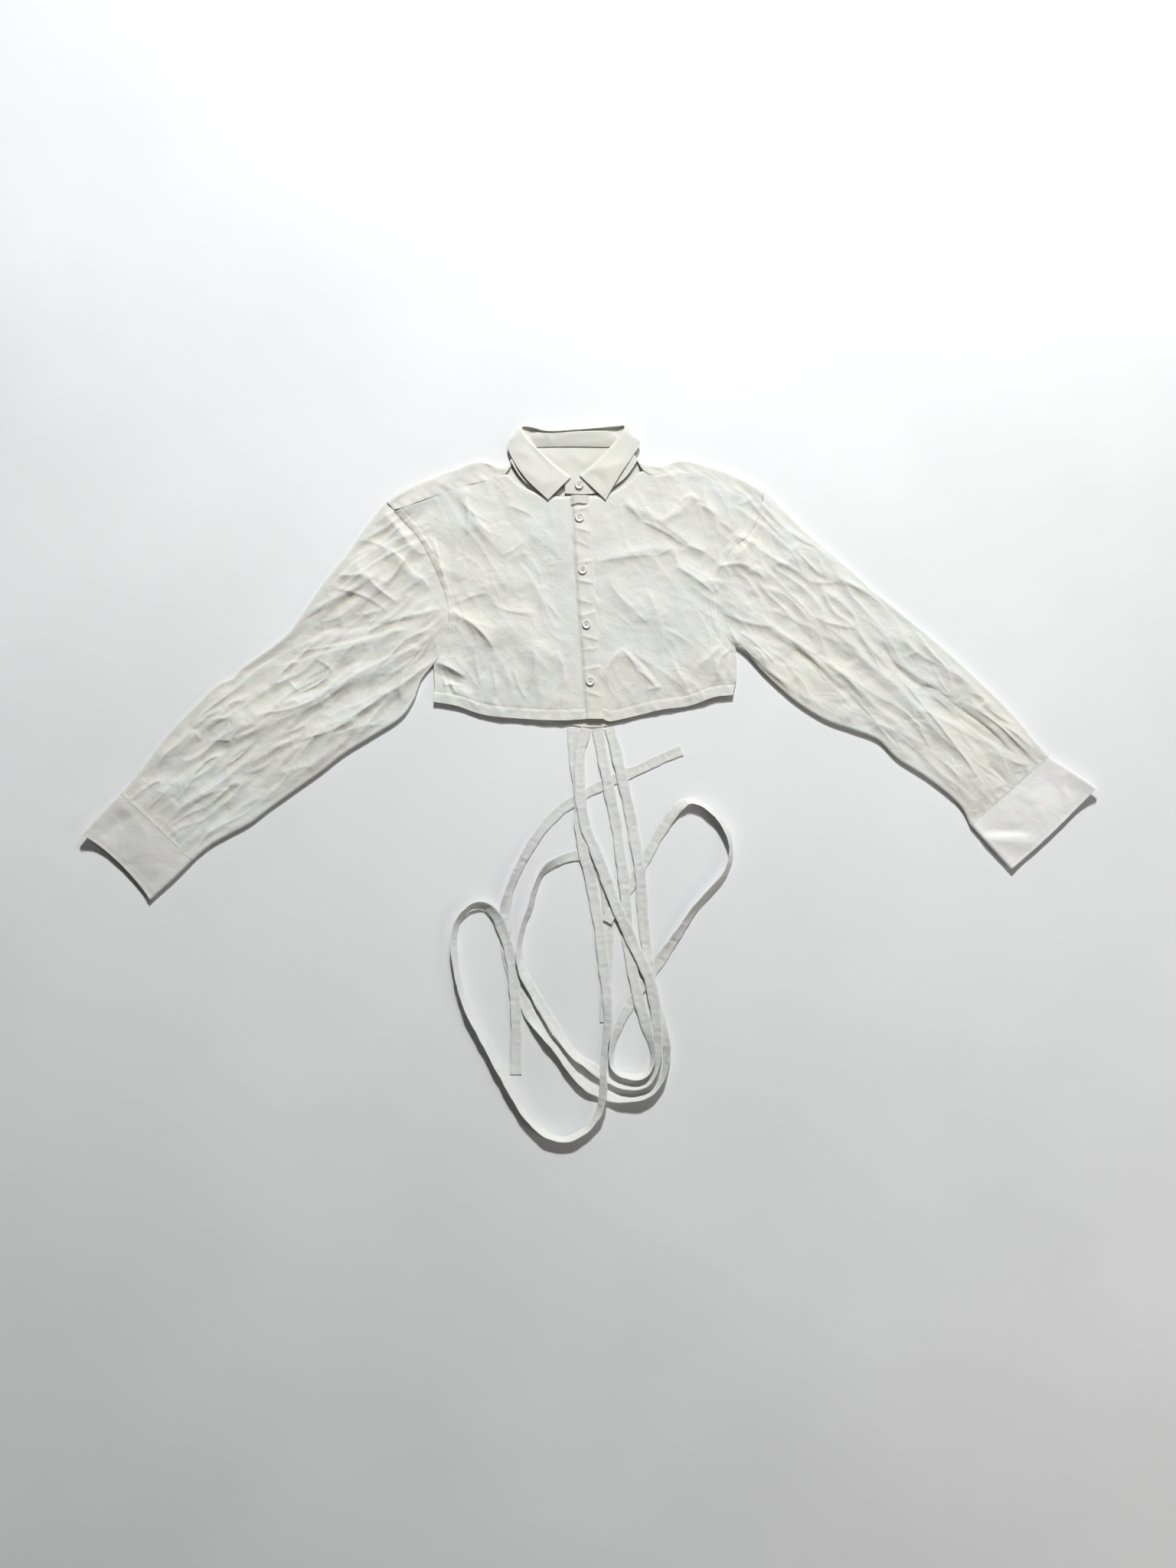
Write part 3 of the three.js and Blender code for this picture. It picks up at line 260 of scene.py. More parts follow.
# Sharper creases over those folds, the same columns.
CREASES = [
    # left sleeve: rays from the underarm
    (586, 796, 470, 832, -6, 7, 2.5, 1.8),
    (582, 804, 500, 850, 4, 6, 2.5, 1.6),
    (561, 833, 532, 872, 4, 5, 2.5, 1.8),
    (533, 868, 524, 912, -3, 5, 2.0, 1.6),
    (530, 820, 386, 852, 5, 6, 2.5, 1.8),
    (446, 820, 386, 846, -5, 3, 8, -1.8),
    (420, 800, 350, 864, -8, 3, 9, -2.2),
    (350, 862, 306, 880, -5, 3, 9, -2.0),
    (549, 846, 430, 905, -6, 7, 2.5, 1.7),
    (440, 896, 366, 922, -6, 3, 8, -1.6),
    (427, 907, 330, 934, 5, 6, 2.5, 1.6),
    (372, 918, 300, 964, 5, 3, 7, -1.6),
    (378, 890, 392, 905, 0, 4, 2, 1.2),
    (410, 862, 436, 880, 3, 5, 2, 1.2),
    (459, 723, 438, 751, 4, 5, 2.5, 1.6),
    (440, 752, 482, 747, -3, 2.5, 6, 1.6),
    (480, 748, 524, 790, -4, 3, 6, 1.6),
    (433, 770, 508, 800, 6, 6, 2.5, 1.4),
    (508, 716, 542, 752, 3, 2.5, 6, 1.6),
    (541, 750, 562, 770, 3, 2.5, 6, 1.5),
    (466, 706, 510, 722, 5, 6, 3, 1.2),
    (198, 1012, 256, 952, 5, 3, 6, 1.7),
    (256, 952, 262, 968, 0, 3, 5, 1.4),
    (271, 969, 306, 967, 0, 3, 5, 1.3),
    (304, 966, 322, 944, 2, 5, 2.5, 1.3),
    (210, 1062, 228, 1044, 0, 3, 5, 1.2),
    (230, 1044, 264, 996, -4, 3, 6, 1.5),
    (254, 952, 292, 926, 3, 6, 2.5, 1.5),
    (352, 980, 386, 968, 3, 3, 6, 1.2),
    (386, 968, 470, 936, -5, 6, 2.5, 1.5),
    (406, 956, 424, 946, 0, 3, 5, 1.0),
    (320, 1010, 366, 984, -4, 5, 3, 1.3),
    (240, 1060, 300, 1030, 5, 5, 3, 1.2),
    (216, 1066, 242, 1098, -4, 5, 3, 1.2),
    (230, 1080, 250, 1112, -5, 5, 3, 1.4),
    (500, 900, 440, 930, 4, 6, 3, 1.3),
    (340, 1040, 300, 1072, -4, 6, 3, 1.2),
    (174, 1036, 190, 1016, 2, 4, 3, 1.2),
    # right sleeve
    (940, 800, 1010, 818, -4, 6, 2.5, 1.7),
    (1012, 818, 1066, 856, -3, 6, 2.5, 1.7),
    (1068, 857, 1126, 912, 3, 7, 2.5, 1.8),
    (1060, 802, 1116, 822, -4, 6, 2.5, 1.5),
    (1116, 822, 1166, 877, -3, 5, 2.0, 1.7),
    (1166, 877, 1274, 1014, 3, 5, 2.0, 1.9),
    (1031, 846, 1092, 896, 4, 2.5, 8, -1.8),
    (1090, 894, 1144, 950, 4, 2.5, 8, -1.8),
    (1144, 948, 1180, 990, 3, 2.5, 8, -1.6),
    (1150, 838, 1202, 898, -6, 2.5, 7, -1.8),
    (1202, 898, 1240, 914, 5, 2.5, 6, -1.8),
    (1240, 914, 1320, 984, 3, 2.0, 7, -2.4),
    (1262, 918, 1356, 1000, 4, 5, 2.0, 2.2),
    (1284, 920, 1326, 946, -3, 5, 2.5, 1.5),
    (1276, 926, 1292, 914, 0, 3, 5, 1.2),
    (1302, 944, 1350, 980, 3, 4, 2.0, 1.6),
    (983, 716, 1050, 757, 3, 2.5, 6, 1.6),
    (1050, 757, 1100, 760, -3, 6, 3, 1.4),
    (1098, 762, 1158, 798, 5, 5, 2.5, 1.7),
    (1028, 697, 1070, 716, -3, 2.5, 7, -1.8),
    (1066, 712, 1100, 732, -3, 2.5, 6, 1.7),
    (1040, 706, 1094, 734, 4, 6, 2.5, 1.6),
    (935, 743, 980, 743, 4, 6, 2.5, 1.6),
    (980, 743, 1000, 760, 2, 6, 2.5, 1.6),
    (962, 734, 982, 706, 3, 3, 6, 1.4),
    (1006, 792, 1034, 806, -2, 2.5, 5, 1.2),
    (1018, 790, 1030, 802, 0, 3, 5, 1.0),
    (964, 826, 1010, 866, 4, 5, 2.5, 1.6),
    (952, 822, 964, 842, 0, 3, 5, 1.6),
    (984, 846, 1000, 872, 4, 5, 3, 1.6),
    (1290, 998, 1324, 1030, 0, 2.0, 10, -1.6),
    (1312, 990, 1350, 998, -3, 5, 2.5, 1.4),
    (1318, 1004, 1340, 1004, -3, 4, 2.5, 1.2),
    (1232, 996, 1256, 1030, 3, 3, 5, 1.2),
    (1262, 1058, 1296, 1054, -4, 4, 3, 1.8),
    (1256, 1046, 1272, 1072, 0, 4, 3, 1.6),
    (1216, 870, 1248, 912, -3, 5, 3, 1.2),
    (1180, 860, 1200, 850, 0, 3, 5, 1.1),
    # left front
    (566, 700, 588, 776, -2, 2.5, 6, 1.7),
    (548, 694, 566, 722, 0, 2.5, 5, 1.3),
    (604, 806, 645, 846, 3, 5, 2.0, 1.8),
    (592, 796, 604, 808, 0, 3, 4, 1.6),
    (618, 664, 646, 700, -4, 3, 8, 1.4),
    (600, 650, 640, 682, -4, 8, 3, 1.4),
    (608, 640, 612, 700, 3, 3, 5, 1.1),
    (652, 726, 690, 700, -4, 7, 3, 1.2),
    (594, 790, 640, 776, 3, 6, 3, 1.2),
    (640, 790, 700, 800, -5, 6, 3, 1.2),
    (672, 870, 690, 916, -3, 5, 3, 1.4),
    (700, 850, 690, 900, 4, 5, 3, 1.4),
    (726, 850, 738, 900, 3, 4, 6, 1.5),
    (742, 880, 736, 926, -2, 3, 5, 1.5),
    (640, 866, 646, 908, 3, 5, 3, 1.3),
    (620, 850, 632, 900, -3, 5, 3, 1.2),
    (660, 660, 700, 680, 4, 6, 3, 1.0),
    (568, 866, 608, 884, 2, 6, 2.0, 2.2),
    (568, 880, 604, 892, 0, 5, 5, -2.6),
    (574, 878, 584, 904, 2, 3, 3, 1.8),
    (588, 884, 598, 906, -2, 3, 3, 1.6),
    (580, 896, 604, 894, 2, 3, 3, 1.4),
    # right front
    (814, 658, 836, 682, 2, 4, 2.0, 1.8),
    (836, 682, 894, 714, 3, 7, 2.0, 2.2),
    (894, 713, 920, 726, 2, 5, 2.5, 1.6),
    (878, 716, 856, 726, 0, 2.5, 6, 1.7),
    (856, 726, 776, 739, -4, 3, 7, 1.6),
    (876, 738, 934, 778, 3, 6, 2.5, 1.8),
    (862, 681, 884, 660, -2, 2.5, 7, 1.8),
    (884, 660, 906, 644, 2, 2.5, 7, 1.9),
    (904, 644, 910, 655, 0, 3, 5, 1.8),
    (909, 657, 938, 678, 3, 2.5, 6, 1.6),
    (938, 678, 956, 694, 0, 2.5, 6, 1.4),
    (852, 628, 882, 624, 3, 3, 6, 1.4),
    (840, 608, 852, 626, 0, 4, 3, 1.6),
    (876, 706, 886, 744, 0, 4, 4, 1.2),
    (842, 768, 856, 802, 3, 3, 5, 1.2),
    (794, 752, 832, 798, -5, 3, 7, 1.4),
    (830, 796, 846, 812, -2, 3, 5, 1.2),
    (812, 848, 834, 874, 2, 3, 2.0, 2.2),
    (834, 874, 860, 900, 2, 3, 2.0, 2.2),
    (818, 846, 866, 898, 4, 2.0, 6, -1.6),
    (786, 888, 812, 848, 3, 2.5, 6, 1.7),
    (844, 900, 866, 896, 0, 3, 4, 1.4),
    (792, 880, 806, 912, -3, 4, 3, 1.2),
    (878, 860, 897, 898, -2, 3, 6, 1.6),
    (866, 820, 904, 846, 3, 3, 5, 1.1),
    (940, 840, 910, 868, 4, 7, 3, 1.6),
    (944, 850, 940, 892, -3, 2.5, 3, 2.0),
    (952, 852, 950, 890, 2, 2.5, 3, 1.8),
    (936, 860, 930, 896, 3, 3, 4, 1.5),
    (956, 846, 944, 858, 0, 3, 3, 1.8),
    (948, 640, 948, 690, 3, 3, 4, 1.2),
    (962, 660, 984, 650, -3, 5, 3, 1.3),
    (958, 700, 984, 712, 0, 5, 3, 1.4),
    (920, 626, 926, 672, -3, 4, 3, 1.1),
]


CREST_ROUND = 0.012


def fold_sum(rows, x, y, sharp, widen=1.0):
    """Sum of ridges and troughs. sharp is 2 for round crests and 1 for ones as keen as a pressed crease."""
    total = np.zeros_like(x)
    for across, down, to_across, to_down, bow, left, right, height in rows:
        x0, y0 = on_board(across, down)
        x1, y1 = on_board(to_across, to_down)
        length = math.hypot(x1 - x0, y1 - y0)
        rx, ry = (x1 - x0) / length, (y1 - y0) / length
        t = ((x - x0) * rx + (y - y0) * ry) / length
        swell = np.clip(4 * t * (1 - t), 0, 1)
        aside = -(x - x0) * ry + (y - y0) * rx - bow * swell
        flank = np.where(aside > 0, left, right)
        away = np.sqrt((aside / (widen * flank)) ** 2 + CREST_ROUND)
        total += height * swell ** 0.8 * np.exp(-away ** sharp)
    return total


class Crumple:
    """Flat facets between random points, with soft creases where they meet, stretched along one direction.

    The pattern fills a square of CELLS facets a side and repeats beyond it.
    """

    CELLS = 30
    PIXELS = 9     # pixels a facet
    MARGIN = 3     # facets beyond each edge, which make the pattern repeat

    def __init__(self, seed, spacing, stretch, angle, soften):
        chance = np.random.default_rng(seed)
        self.angle = math.radians(angle)
        self.stretch = stretch
        self.pixel = spacing / self.PIXELS
        count, margin = self.CELLS, self.MARGIN
        shift = chance.uniform(-0.47, 0.47, (count, count, 2))
        heights = chance.uniform(-1, 1, (count, count))
        index = np.arange(-margin, count + margin)
        gx, gy = np.meshgrid(index, index)
        wx, wy = gx % count, gy % count
        points = np.stack([gx + shift[wy, wx, 0], gy + shift[wy, wx, 1]], -1).reshape(-1, 2) * self.PIXELS
        heights = heights[wy, wx].ravel()
        verts, _, faces, *_ = delaunay_2d_cdt([Vector(p) for p in points], [], [], 0, 1e-6)
        side = count * self.PIXELS
        grid = np.zeros((side, side))
        for face in faces:
            ia, ib, ic = face[:3]
            a, b, c = points[ia], points[ib], points[ic]
            low = np.clip(np.floor(np.minimum(np.minimum(a, b), c)).astype(int), 0, side)
            high = np.clip(np.ceil(np.maximum(np.maximum(a, b), c)).astype(int) + 1, 0, side)
            if (high <= low).any():
                continue
            px, py = np.meshgrid(np.arange(low[0], high[0]), np.arange(low[1], high[1]))
            area = (b[0] - a[0]) * (c[1] - a[1]) - (c[0] - a[0]) * (b[1] - a[1])
            wb = ((px - a[0]) * (c[1] - a[1]) - (c[0] - a[0]) * (py - a[1])) / area
            wc = ((b[0] - a[0]) * (py - a[1]) - (px - a[0]) * (b[1] - a[1])) / area
            inside = (wb >= -1e-9) & (wc >= -1e-9) & (wb + wc <= 1 + 1e-9)
            block = grid[low[1]:high[1], low[0]:high[0]]
            block[inside] = (heights[ia] + wb * (heights[ib] - heights[ia])
                             + wc * (heights[ic] - heights[ia]))[inside]
        self.grid = blur_wrapped(grid, soften / self.pixel)

    def __call__(self, x, y):
        cos, sin = math.cos(self.angle), math.sin(self.angle)
        u = (x * cos + y * sin) / self.stretch / self.pixel
        v = (y * cos - x * sin) / self.pixel
        column, row = np.floor(u).astype(int), np.floor(v).astype(int)
        grid, size = self.grid, len(self.grid)
        near = mix(grid[row % size, column % size], grid[row % size, (column + 1) % size], u - column)
        row_after = (row + 1) % size
        far = mix(grid[row_after, column % size], grid[row_after, (column + 1) % size], u - column)
        return mix(near, far, v - row)


def blur_wrapped(grid, sigma):
    """A soft blur of a grid that repeats beyond its edges."""
    reach = max(1, int(3 * sigma))
    steps = np.arange(-reach, reach + 1)
    kernel = np.exp(-0.5 * (steps / sigma) ** 2)
    kernel /= kernel.sum()
    for axis in (0, 1):
        grid = sum(weight * np.roll(grid, step, axis) for weight, step in zip(kernel, steps))
    return grid


class Ridges:
    """Long wandering creases, with a keen crest wherever a smooth uneven field passes its middle value."""

    SOFTEN = 0.12         # blur of the field, as a share of its spacing
    CREST = 0.25          # height of the crests without their pinch
    KEEN = 0.03           # rounding of the crest
    PINCH = 0.13          # height and width of the pinched ridge on the crest
    PINCH_WIDE = 0.075

    def __init__(self, seed, spacing, stretch, angle):
        self.field = Crumple(seed, spacing, stretch, angle, self.SOFTEN * spacing)

    def __call__(self, x, y):
        away = np.sqrt(self.field(x, y) ** 2 + self.KEEN ** 2)
        return self.CREST - away + self.PINCH * np.exp(-away / self.PINCH_WIDE)


# Crumples of each part of the shirt, from broad to fine, with their heights.
CRUMPLES = {
    "sleeve_left": [
        (Ridges(25, 27, 3.3, 36), 4.3), (Ridges(16, 12, 3.6, 40), 3.6),
        (Crumple(11, 40, 2.2, 44, 1.1), 1.7), (Crumple(12, 18, 1.9, 34, 0.7), 1.0),
        (Crumple(13, 8.5, 1.4, 55, 0.6), 0.6)],
    "sleeve_right": [
        (Ridges(27, 27, 3.3, -38), 2.4), (Ridges(26, 12, 3.4, -42), 2.7),
        (Crumple(21, 40, 2.4, -40, 1.1), 1.7), (Crumple(22, 18, 2.0, -46, 0.7), 1.0),
        (Crumple(23, 8.5, 1.4, -28, 0.6), 0.55)],
    "body": [
        (Ridges(35, 36, 2.2, -42), 2.1), (Ridges(36, 15, 2.4, -62), 1.3),
        (Crumple(31, 42, 1.5, -38, 1.2), 1.3), (Crumple(32, 19, 1.4, -66, 0.7), 0.8),
        (Crumple(33, 8.5, 1.2, 20, 0.6), 0.4)],
}
BODY_MIDDLING = CRUMPLES["body"][3][0]
BODY_FINEST = CRUMPLES["body"][4][0]

# Folds and creases wander off their straight lines by about this distance.
WANDER = (Crumple(41, 30, 1.0, 10, 5.0), Crumple(42, 30, 1.0, 70, 5.0))
WANDER_REACH = 2.0

FOLD_HEIGHT = 1.2
FOLD_HEIGHT_LESS = 0.3     # how much lower the folds of the right sleeve are
FOLD_SHARP = 1.25
CREASE_HEIGHT = 1.6
CREASE_WIDE = 0.9
COLLAR_CALM = 0.12         # share of the crumples that is left under the collar
BAND_CALM = 0.4            # and along the buttoned band
CALM_EDGE = 26.0


def near_line(x, y, across, down, to_across, to_down):
    """Distance from a straight stretch on the board."""
    x0, y0 = on_board(across, down)
    x1, y1 = on_board(to_across, to_down)
    dx, dy = x1 - x0, y1 - y0
    t = np.clip(((x - x0) * dx + (y - y0) * dy) / (dx * dx + dy * dy), 0, 1)
    return np.hypot(x - x0 - t * dx, y - y0 - t * dy)


def calm(x, y):
    """How free the cloth is to crumple: least under the collar, low along the band, 1 elsewhere."""
    band = smooth((near_line(x, y, 758, 650, 772, 940) - 14) / CALM_EDGE)
    collar = smooth((near_line(x, y, 690, 600, 755, 640) - 30) / CALM_EDGE)
    collar = collar * smooth((near_line(x, y, 820, 596, 755, 640) - 30) / CALM_EDGE)
    return mix(BAND_CALM, 1, band) * mix(COLLAR_CALM, 1, collar)


def region_weights(x, y):
    """Share of each crumple set, blended over a few centimetres at the armholes."""
    left = smooth((-196 - x) / 30)
    right = smooth((x - 172) / 30)
    return {"sleeve_left": left, "sleeve_right": right, "body": 1 - left - right}


def soft_floor(z, low, softness=0.7):
    """Heights kept over a lowest one without a hard corner."""
    return low + softness * np.log1p(np.exp((z - low) / softness))


def upper_face(x, y):
    """Height of the upper ply's outer face."""
    wx = x + WANDER_REACH * WANDER[0](x, y)
    wy = y + WANDER_REACH * WANDER[1](x, y)
    fine = CREASE_HEIGHT * fold_sum(CREASES, wx, wy, 1.0, CREASE_WIDE)
    base = LIE
    shares = region_weights(x, y)
    for name, share in shares.items():
        for field, amount in CRUMPLES[name]:
            fine = fine + share * amount * field(wx, wy)
        if name != "body":
            base = base + SLEEVE_LIFT * share
    broad = (FOLD_HEIGHT - FOLD_HEIGHT_LESS * shares["sleeve_right"]) * fold_sum(FOLDS, wx, wy, FOLD_SHARP)
    height = base + broad + fine * calm(x, y)
    return np.minimum(soft_floor(height, LOWEST_TOP), HIGHEST_TOP)


# The valleys' depth sets the painted shade that the cotton's colour takes there.
VALLEY_REACH = 4      # cells on each side that count as surroundings
VALLEY_DEPTH = 1.6    # depth of a full valley


def painted_shade_mask(z):
    """How deep each point of a grid of heights lies under its surroundings, 0 to 1: the strength of the
    painted shade in the cotton's colour.
    """
    around = z.copy()
    for axis in (0, 1):
        total = np.zeros_like(z)
        for step in range(-VALLEY_REACH, VALLEY_REACH + 1):
            index = np.clip(np.arange(z.shape[axis]) + step, 0, z.shape[axis] - 1)
            total += np.take(around, index, axis)
        around = total / (2 * VALLEY_REACH + 1)
    return np.clip((around - z) / VALLEY_DEPTH, 0, 1)


# ---- Meshes ----

def add_object(name, data):
    piece = bpy.data.objects.new(name, data)
    bpy.context.scene.collection.objects.link(piece)
    return piece


def shade(mesh, sharp_from):
    """Smooth shading, with an edge kept sharp where it turns by more than an angle in degrees."""
    mesh.shade_smooth()
    mesh.set_sharp_from_angle(angle=math.radians(sharp_from))


def make_object(name, points, faces, folds=None):
    """An object from points in millimetres. folds is each point's depth in a fold, which the material
    paints as shade.
    """
    mesh = bpy.data.meshes.new(name)
    mesh.from_pydata([tuple(p) for p in np.asarray(points) * MM], [], faces)
    mesh.update()
    if folds is not None:
        attribute = mesh.attributes.new("fold", "FLOAT", "POINT")
        attribute.data.foreach_set("value", np.ascontiguousarray(folds, np.float32))
    shade(mesh, 50)
    return add_object(name, mesh)


def point_numbers(rows, columns, first=0, looped=True):
    """A grid of running point numbers. A looped one has its first column again at the end."""
    numbers = first + np.arange(rows * columns).reshape(rows, columns)
    return np.concatenate([numbers, numbers[:, :1]], 1) if looped else numbers


def quads(numbers):
    """The four corners of each cell of a grid of point numbers."""
    corners = [numbers[:-1, :-1], numbers[:-1, 1:], numbers[1:, 1:], numbers[1:, :-1]]
    return np.stack(corners, -1).reshape(-1, 4)


def wall(name, outer, inner, looped=False, folds=None):
    """A closed shell between two grids of points. A looped grid closes on itself along each row.

    The inner face takes every second point where both counts allow it, as nobody sees it.
    """
    rows, columns = outer.shape[:2]
    spans = columns if looped else columns - 1
    skip = 2 if (rows - 1) % 2 == 0 and spans % 2 == 0 else 1
    inner = inner[::skip, ::skip]
    points = np.concatenate([outer.reshape(-1, 3), inner.reshape(-1, 3)])
    over = point_numbers(rows, columns, 0, looped)
    under = point_numbers(*inner.shape[:2], rows * columns, looped)
    cells = np.concatenate([quads(over), quads(under)[:, ::-1]])
    faces = cells.tolist()

    def rim(edge, low_edge, turn):
        for k in range(len(low_edge) - 1):
            ring = [*edge[k * skip:(k + 1) * skip + 1].tolist(), int(low_edge[k + 1]), int(low_edge[k])]
            faces.append(ring[::-1] if turn else ring)
    rim(over[0], under[0], True)
    rim(over[-1], under[-1], False)
    if not looped:
        rim(over[:, 0], under[:, 0], False)
        rim(over[:, -1], under[:, -1], True)
    # A negative volume means that the faces look inwards.
    corners = [points[cells[:, k]] for k in range(4)]
    volume = np.einsum("ij,ij->i", corners[0], np.cross(corners[1], corners[2])).sum()
    volume += np.einsum("ij,ij->i", corners[0], np.cross(corners[2], corners[3])).sum()
    if volume < 0:
        faces = [face[::-1] for face in faces]
    if folds is not None:
        folds = np.concatenate([folds.ravel(), folds[::skip, ::skip].ravel()])
    return make_object(name, points, faces, folds)


def grid_points(x, y, z):
    return np.stack([x, y, z], -1)


def dress(piece, nodes, material):
    """Gives a piece its material and slot, and the nodes of the CAD that it stands for."""
    piece.data.materials.clear()
    piece.data.materials.append(material)
    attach(piece, "root")
    if nodes:
        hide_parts(*nodes)


# ---- Materials ----

def add_node(tree, kind, inputs=None, **settings):
    """A shader node with its settings. Each input is a value or the output of another node."""
    node = tree.nodes.new("ShaderNode" + kind)
    for setting, value in settings.items():
        setattr(node, setting, value)
    for socket, value in (inputs or {}).items():
        if isinstance(value, bpy.types.NodeSocket):
            tree.links.new(value, node.inputs[socket])
        else:
            node.inputs[socket].default_value = value
    return node


def add_ramp(tree, factor, low, low_colour, high, high_colour):
    ramp = add_node(tree, "ValToRGB", {"Fac": factor})
    for k, (place, colour) in enumerate(((low, low_colour), (high, high_colour))):
        ramp.color_ramp.elements[k].position = place
        ramp.color_ramp.elements[k].color = (*colour, 1)
    return ramp.outputs["Color"]


def new_material(name, values):
    """A material, its tree, its shader with values set, and the object's coordinates."""
    material = bpy.data.materials.new(name)
    material.use_nodes = True
    tree = material.node_tree
    shader = tree.nodes["Principled BSDF"]
    for socket, value in values.items():
        shader.inputs[socket].default_value = value
    return material, tree, shader, add_node(tree, "TexCoord").outputs["Object"]


# Painted shade: a darker, warmer colour mixed into the cotton where it lies in a valley, standing in for
# the shade there.
PAINTED_SHADE_SHARE = 0.8                     # how much of the painted shade's colour the deepest folds take
PAINTED_SHADE_COLOUR = (0.66, 0.60, 0.50)
THREADS = {"Scale": 350, "Distortion": 0.6, "Detail": 1}
RUMPLES = ((62, 0.0032), (140, 0.0014))     # cells a metre and depth in metres
RUMPLE_PUSH = 0.022                 # how far the cells' edges are pushed about, in metres


def cotton(name, colour, warm, run_angle, stretch=2.2, rumple=1.0):
    """Matt plain-weave cotton: uneven off-white, with painted shade, darker and warmer, in its folds, and
    fine rumples along one way.
    """
    material, tree, shader, place = new_material(name, {
        "Roughness": 0.82, "Specular IOR Level": 0.25, "Sheen Weight": 0.1, "Sheen Roughness": 0.5})

    def noise(scale, detail):
        return add_node(tree, "TexNoise", {"Vector": place, "Scale": scale, "Detail": detail,
                                           "Roughness": 0.55})

    def product(first, second):
        return add_node(tree, "Math", {0: first, 1: second}, operation="MULTIPLY").outputs["Value"]

    def tint(blend, factor, first, second):
        node = add_node(tree, "Mix", {"Factor": factor, "A": first, "B": second},
                        data_type="RGBA", blend_type=blend)
        return node.outputs["Result"]

    def turned(scale):
        rotation = (0, 0, math.radians(run_angle))
        node = add_node(tree, "Mapping", {"Vector": place, "Rotation": rotation, "Scale": scale},
                        vector_type="TEXTURE")
        return node.outputs["Vector"]

    tone = add_ramp(tree, noise(5.5, 3).outputs["Fac"], 0.36, colour, 0.7, warm)
    tone = tint("MULTIPLY", 0.10, tone, noise(60, 4).outputs["Color"])
    # Painted shade: the depth of the valleys mixes in the darker, warmer colour.
    fold = add_node(tree, "Attribute", attribute_name="fold").outputs["Fac"]
    tone = tint("MIX", product(fold, PAINTED_SHADE_SHARE), tone, (*PAINTED_SHADE_COLOUR, 1))
    tree.links.new(tone, shader.inputs["Base Color"])

    weave_place = turned((1, 1, 1))
    threads = [add_node(tree, "TexWave", {"Vector": weave_place, **THREADS}, bands_direction=direction)
               for direction in ("X", "Y")]
    weave = product(threads[0].outputs["Fac"], threads[1].outputs["Fac"])
    bump = add_node(tree, "Bump", {"Strength": 0.25, "Distance": 0.00012, "Height": weave})

    push = add_node(tree, "VectorMath", {0: noise(30, 2).outputs["Color"], 1: (RUMPLE_PUSH,) * 3,
                                         2: turned((stretch, 1, 1))}, operation="MULTIPLY_ADD")
    for scale, depth in RUMPLES:
        cells = add_node(tree, "TexVoronoi", {"Vector": push.outputs["Vector"], "Scale": scale},
                         feature="DISTANCE_TO_EDGE")
        uneven = product(cells.outputs["Distance"], noise(scale / 5, 2).outputs["Fac"])
        bump = add_node(tree, "Bump", {"Strength": 0.6 * rumple, "Distance": depth, "Height": uneven,
                                       "Normal": bump.outputs["Normal"]})
    tree.links.new(bump.outputs["Normal"], shader.inputs["Normal"])
    return material


def plain(name, colour, roughness, specular=0.5, coat=0.0, grain=220):
    """A material of one colour, with a faint grain."""
    material, tree, shader, place = new_material(name, {
        "Roughness": roughness, "Specular IOR Level": specular, "Coat Weight": coat})
    noise = add_node(tree, "TexNoise", {"Vector": place, "Scale": grain, "Detail": 3}).outputs["Fac"]
    tone = add_ramp(tree, noise, 0.3, [c * 0.93 for c in colour], 0.7, colour)
    tree.links.new(tone, shader.inputs["Base Color"])
    return material


COTTON_WHITE = (0.74, 0.755, 0.725)
COTTON_WARM = (0.765, 0.755, 0.69)
CREAM_WHITE = (0.745, 0.745, 0.70)
CREAM_WARM = (0.76, 0.745, 0.665)

CLOTH = {
    "sleeve_left": cotton("cotton_sleeve_left", COTTON_WHITE, COTTON_WARM, 42),
    "sleeve_right": cotton("cotton_sleeve_right", COTTON_WHITE, COTTON_WARM, -42),
    "body": cotton("cotton_body", COTTON_WHITE, COTTON_WARM, -30, 1.4, 0.7),
    "cream": cotton("cotton_cream", CREAM_WHITE, CREAM_WARM, 0, 1.2, 0.3),
    # The two cuffs are the same cloth: the left one's darker colour is painted shade, and the right one's
    # lighter colour is painted light.
    "cuff_left": cotton("cotton_cuff_left_painted_shade", (0.715, 0.715, 0.69), (0.74, 0.725, 0.68), 45, 1.3, 0.5),
    "cuff_right": cotton("cotton_cuff_right_painted_light", (0.86, 0.86, 0.845), (0.87, 0.86, 0.83), -40, 1.3, 0.5),
    "tie": cotton("cotton_tie", (0.765, 0.77, 0.75), (0.775, 0.77, 0.725), 8, 1.0, 0.6),
}
THREAD = plain("sewing_thread", (0.84, 0.83, 0.77), 0.6)
RESIN = plain("button_resin", (0.82, 0.81, 0.77), 0.28, 0.5, 0.3)


# ---- Camera, light and floor ----

PHOTO_WIDE = 1536
PHOTO_HIGH = 2048
CAMERA_HEIGHT = 2.6
SENSOR = 36


def make_camera():
    data = bpy.data.cameras.new("camera")
    data.sensor_fit = "VERTICAL"
    data.sensor_height = SENSOR
    data.lens = SENSOR * CAMERA_HEIGHT / (PHOTO_HIGH * MM)
    camera = add_object("camera", data)
    x, y = on_board(PHOTO_WIDE / 2, PHOTO_HIGH / 2)
    camera.location = (x * MM, y * MM, CAMERA_HEIGHT)
    bpy.context.scene.camera = camera
    bpy.context.scene.view_settings.view_transform = "Standard"


make_camera()

SURROUND = 8
SURROUND_OUT = 3.4
SURROUND_HIGH = 5.0


def area_light(name, place, aim, size, power, colour):
    data = bpy.data.lights.new(name, "AREA")
    data.shape = "SQUARE"
    data.size = size
    data.energy = power
    data.color = colour
    light = add_object(name, data)
    light.location = place
    light.rotation_euler = (Vector(aim) - Vector(place)).to_track_quat("-Z", "Y").to_euler()
    light.visible_camera = False


